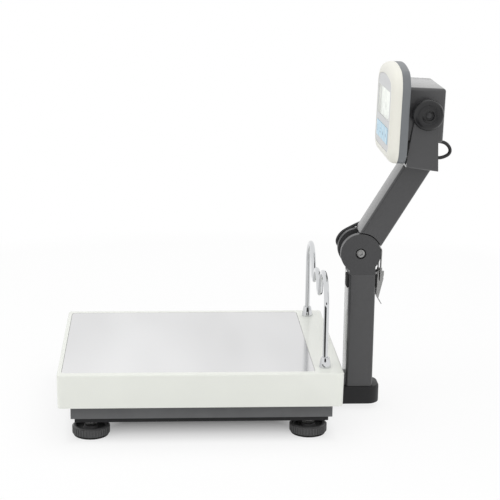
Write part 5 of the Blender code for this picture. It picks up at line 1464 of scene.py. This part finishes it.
@dataclass
class Studio:
    """Pale floor, even light and the camera at the photograph's angle."""

    sky: float = 0.62
    place: Colour = (2.02819, -0.13948, 0.73438)
    yaw: float = math.radians(3.708)
    pitch: float = math.radians(14.005)
    roll: float = math.radians(0.757)
    lens: float = 108.0

    def build(self) -> None:
        """Set the view, the camera, the floor, the sky and the lamps."""
        bpy.context.scene.view_settings.view_transform = "Standard"
        self.camera()
        self.floor()
        self.world()
        self.lamp("lamp_top", (-0.2, 0.0, 2.6), (0.0, 0.0, 0.2), 2.9, 26.0)
        self.lamp("lamp_front", (1.6, -2.2, 1.5), (0.0, 0.0, 0.2), 2.3, 16.0)
        self.lamp("lamp_side", (2.6, 1.3, 1.6), (0.0, 0.0, 0.15), 2.1, 12.0)
        self.card("card_room", (3.6, -0.2, 0.36), (0.0, -0.2, 0.36), 2.8, 0.56)
        self.card("card_rear", (0.75, 2.6, 0.75), (0.0, 0.0, 0.75), 0.6, 1.5)
        self.card("card_table", (0.65, -0.415, 0.004), (0.65, -0.415, 1.0), 0.9, 1.07)

    def camera(self) -> None:
        """Stand the camera where the photograph was taken from."""
        ahead = Vector((-math.cos(self.yaw) * math.cos(self.pitch), math.sin(self.yaw) * math.cos(self.pitch),
                        -math.sin(self.pitch)))
        right = ahead.cross(UP).normalized()
        over = right.cross(ahead)
        c = math.cos(self.roll)
        s = math.sin(self.roll)
        x = right * c + over * s
        y = over * c - right * s
        data = bpy.data.cameras.new("photo_camera")
        data.sensor_width = 36.0
        data.lens = self.lens
        data.clip_end = 200.0
        camera = bpy.data.objects.new("photo_camera", data)
        turn = Matrix((x, y, -ahead)).transposed().to_4x4()
        camera.matrix_world = Matrix.Translation(self.place) @ turn
        bpy.context.scene.collection.objects.link(camera)
        bpy.context.scene.camera = camera

    def seen(self, graph: Graph) -> bpy.types.NodeSocket:
        """Return 1 for rays that show the background: from the camera, a mirror or clear plastic."""
        rays = graph.add("ShaderNodeLightPath").outputs
        either = graph.math("MAXIMUM", rays["Is Camera Ray"], rays["Is Glossy Ray"])
        return graph.math("MAXIMUM", either, rays["Is Transmission Ray"])

    def floor(self) -> None:
        """Lay a wide pale floor that keeps the object's soft shadow."""
        look = bpy.data.materials.new("studio_floor")
        look.use_nodes = True
        graph = bare_graph(look.node_tree)
        where = graph.add("ShaderNodeTexCoord").outputs["Object"]
        far = graph.add("ShaderNodeVectorMath", {0: where}, operation="LENGTH").outputs["Value"]
        side = graph.add("ShaderNodeSeparateXYZ", {0: where}).outputs
        beyond_x = graph.math("SUBTRACT", graph.math("ABSOLUTE", side["X"]), 0.137)
        beyond_y = graph.math("SUBTRACT", graph.math("ABSOLUTE", graph.math("ADD", side["Y"], 0.08)), 0.17)
        near = graph.span(graph.math("MAXIMUM", beyond_x, beyond_y), (-0.075, 0.015), (0.08, 0.82))
        share = graph.math("MAXIMUM", near, graph.span(far, (0.4, 1.1), (0.0, 1.0)))
        matt = graph.add("ShaderNodeBsdfDiffuse", {"Color": (0.97, 0.97, 0.97, 1.0)})
        white = graph.add("ShaderNodeEmission", {"Color": (1.0, 1.0, 1.0, 1.0), "Strength": 1.0})
        mixed = graph.add("ShaderNodeMixShader", {0: graph.math("MULTIPLY", share, self.seen(graph)),
                                                  1: matt.outputs[0], 2: white.outputs[0]})
        graph.join(mixed.outputs[0], graph.add("ShaderNodeOutputMaterial").inputs[0])
        floor = stage_sheet("studio_floor", 80.0, 80.0)
        floor.data.materials.append(look)

    def world(self) -> None:
        """Give an even sky, white where it is seen."""
        world = bpy.data.worlds.new("studio")
        bpy.context.scene.world = world
        world.use_nodes = True
        graph = bare_graph(world.node_tree)
        dim = graph.add("ShaderNodeBackground", {"Color": (1.0, 1.0, 1.0, 1.0), "Strength": self.sky})
        white = graph.add("ShaderNodeBackground", {"Color": (1.0, 1.0, 1.0, 1.0), "Strength": 1.0})
        sockets = {0: self.seen(graph), 1: dim.outputs[0], 2: white.outputs[0]}
        mixed = graph.add("ShaderNodeMixShader", sockets)
        graph.join(mixed.outputs[0], graph.add("ShaderNodeOutputWorld").inputs[0])

    def card(self, name: str, place: Colour, target: Colour, wide: float, high: float) -> None:
        """Set up a black card that only polished faces see, as round a light tent.

        Args:
            name: The card's name.
            place: Its middle.
            target: The point that it faces.
            wide: Its width in metres.
            high: Its height in metres.
        """
        card = stage_sheet(name, wide, high)
        card.matrix_world = aimed(place, target, "Z")
        look = bpy.data.materials.new(name)
        look.use_nodes = True
        shader = look.node_tree.nodes["Principled BSDF"]
        shader.inputs["Base Color"].default_value = (0.01, 0.01, 0.01, 1.0)
        shader.inputs["Roughness"].default_value = 1.0
        card.data.materials.append(look)
        card.visible_camera = False
        card.visible_diffuse = False
        card.visible_shadow = False
        card.visible_transmission = False

    def lamp(self, name: str, place: Colour, target: Colour, size: float, power: float) -> None:
        """Add a square soft box that looks at a target."""
        data = bpy.data.lights.new(name, "AREA")
        data.size = size
        data.energy = power
        lamp = bpy.data.objects.new(name, data)
        lamp.matrix_world = aimed(place, target, "-Z")
        lamp.visible_glossy = False
        bpy.context.scene.collection.objects.link(lamp)


def main() -> None:
    """Build the studio and every sub-assembly in order."""
    logging.basicConfig(level=logging.INFO, format="%(message)s")
    Studio().build()
    Cables().build()
    Deck().build()
    Base().build()
    for y, end in ((-FOOT_Y, "front"), (FOOT_Y, "rear")):
        for side in Side:
            Foot(end + "_" + side.label, side.value * FOOT_X, y).build()
    Column().build()
    Arm().build()
    Latch().build()
    Head().build()
    for side in Side:
        Knob(side).build()


if __name__ == "__main__":
    main()
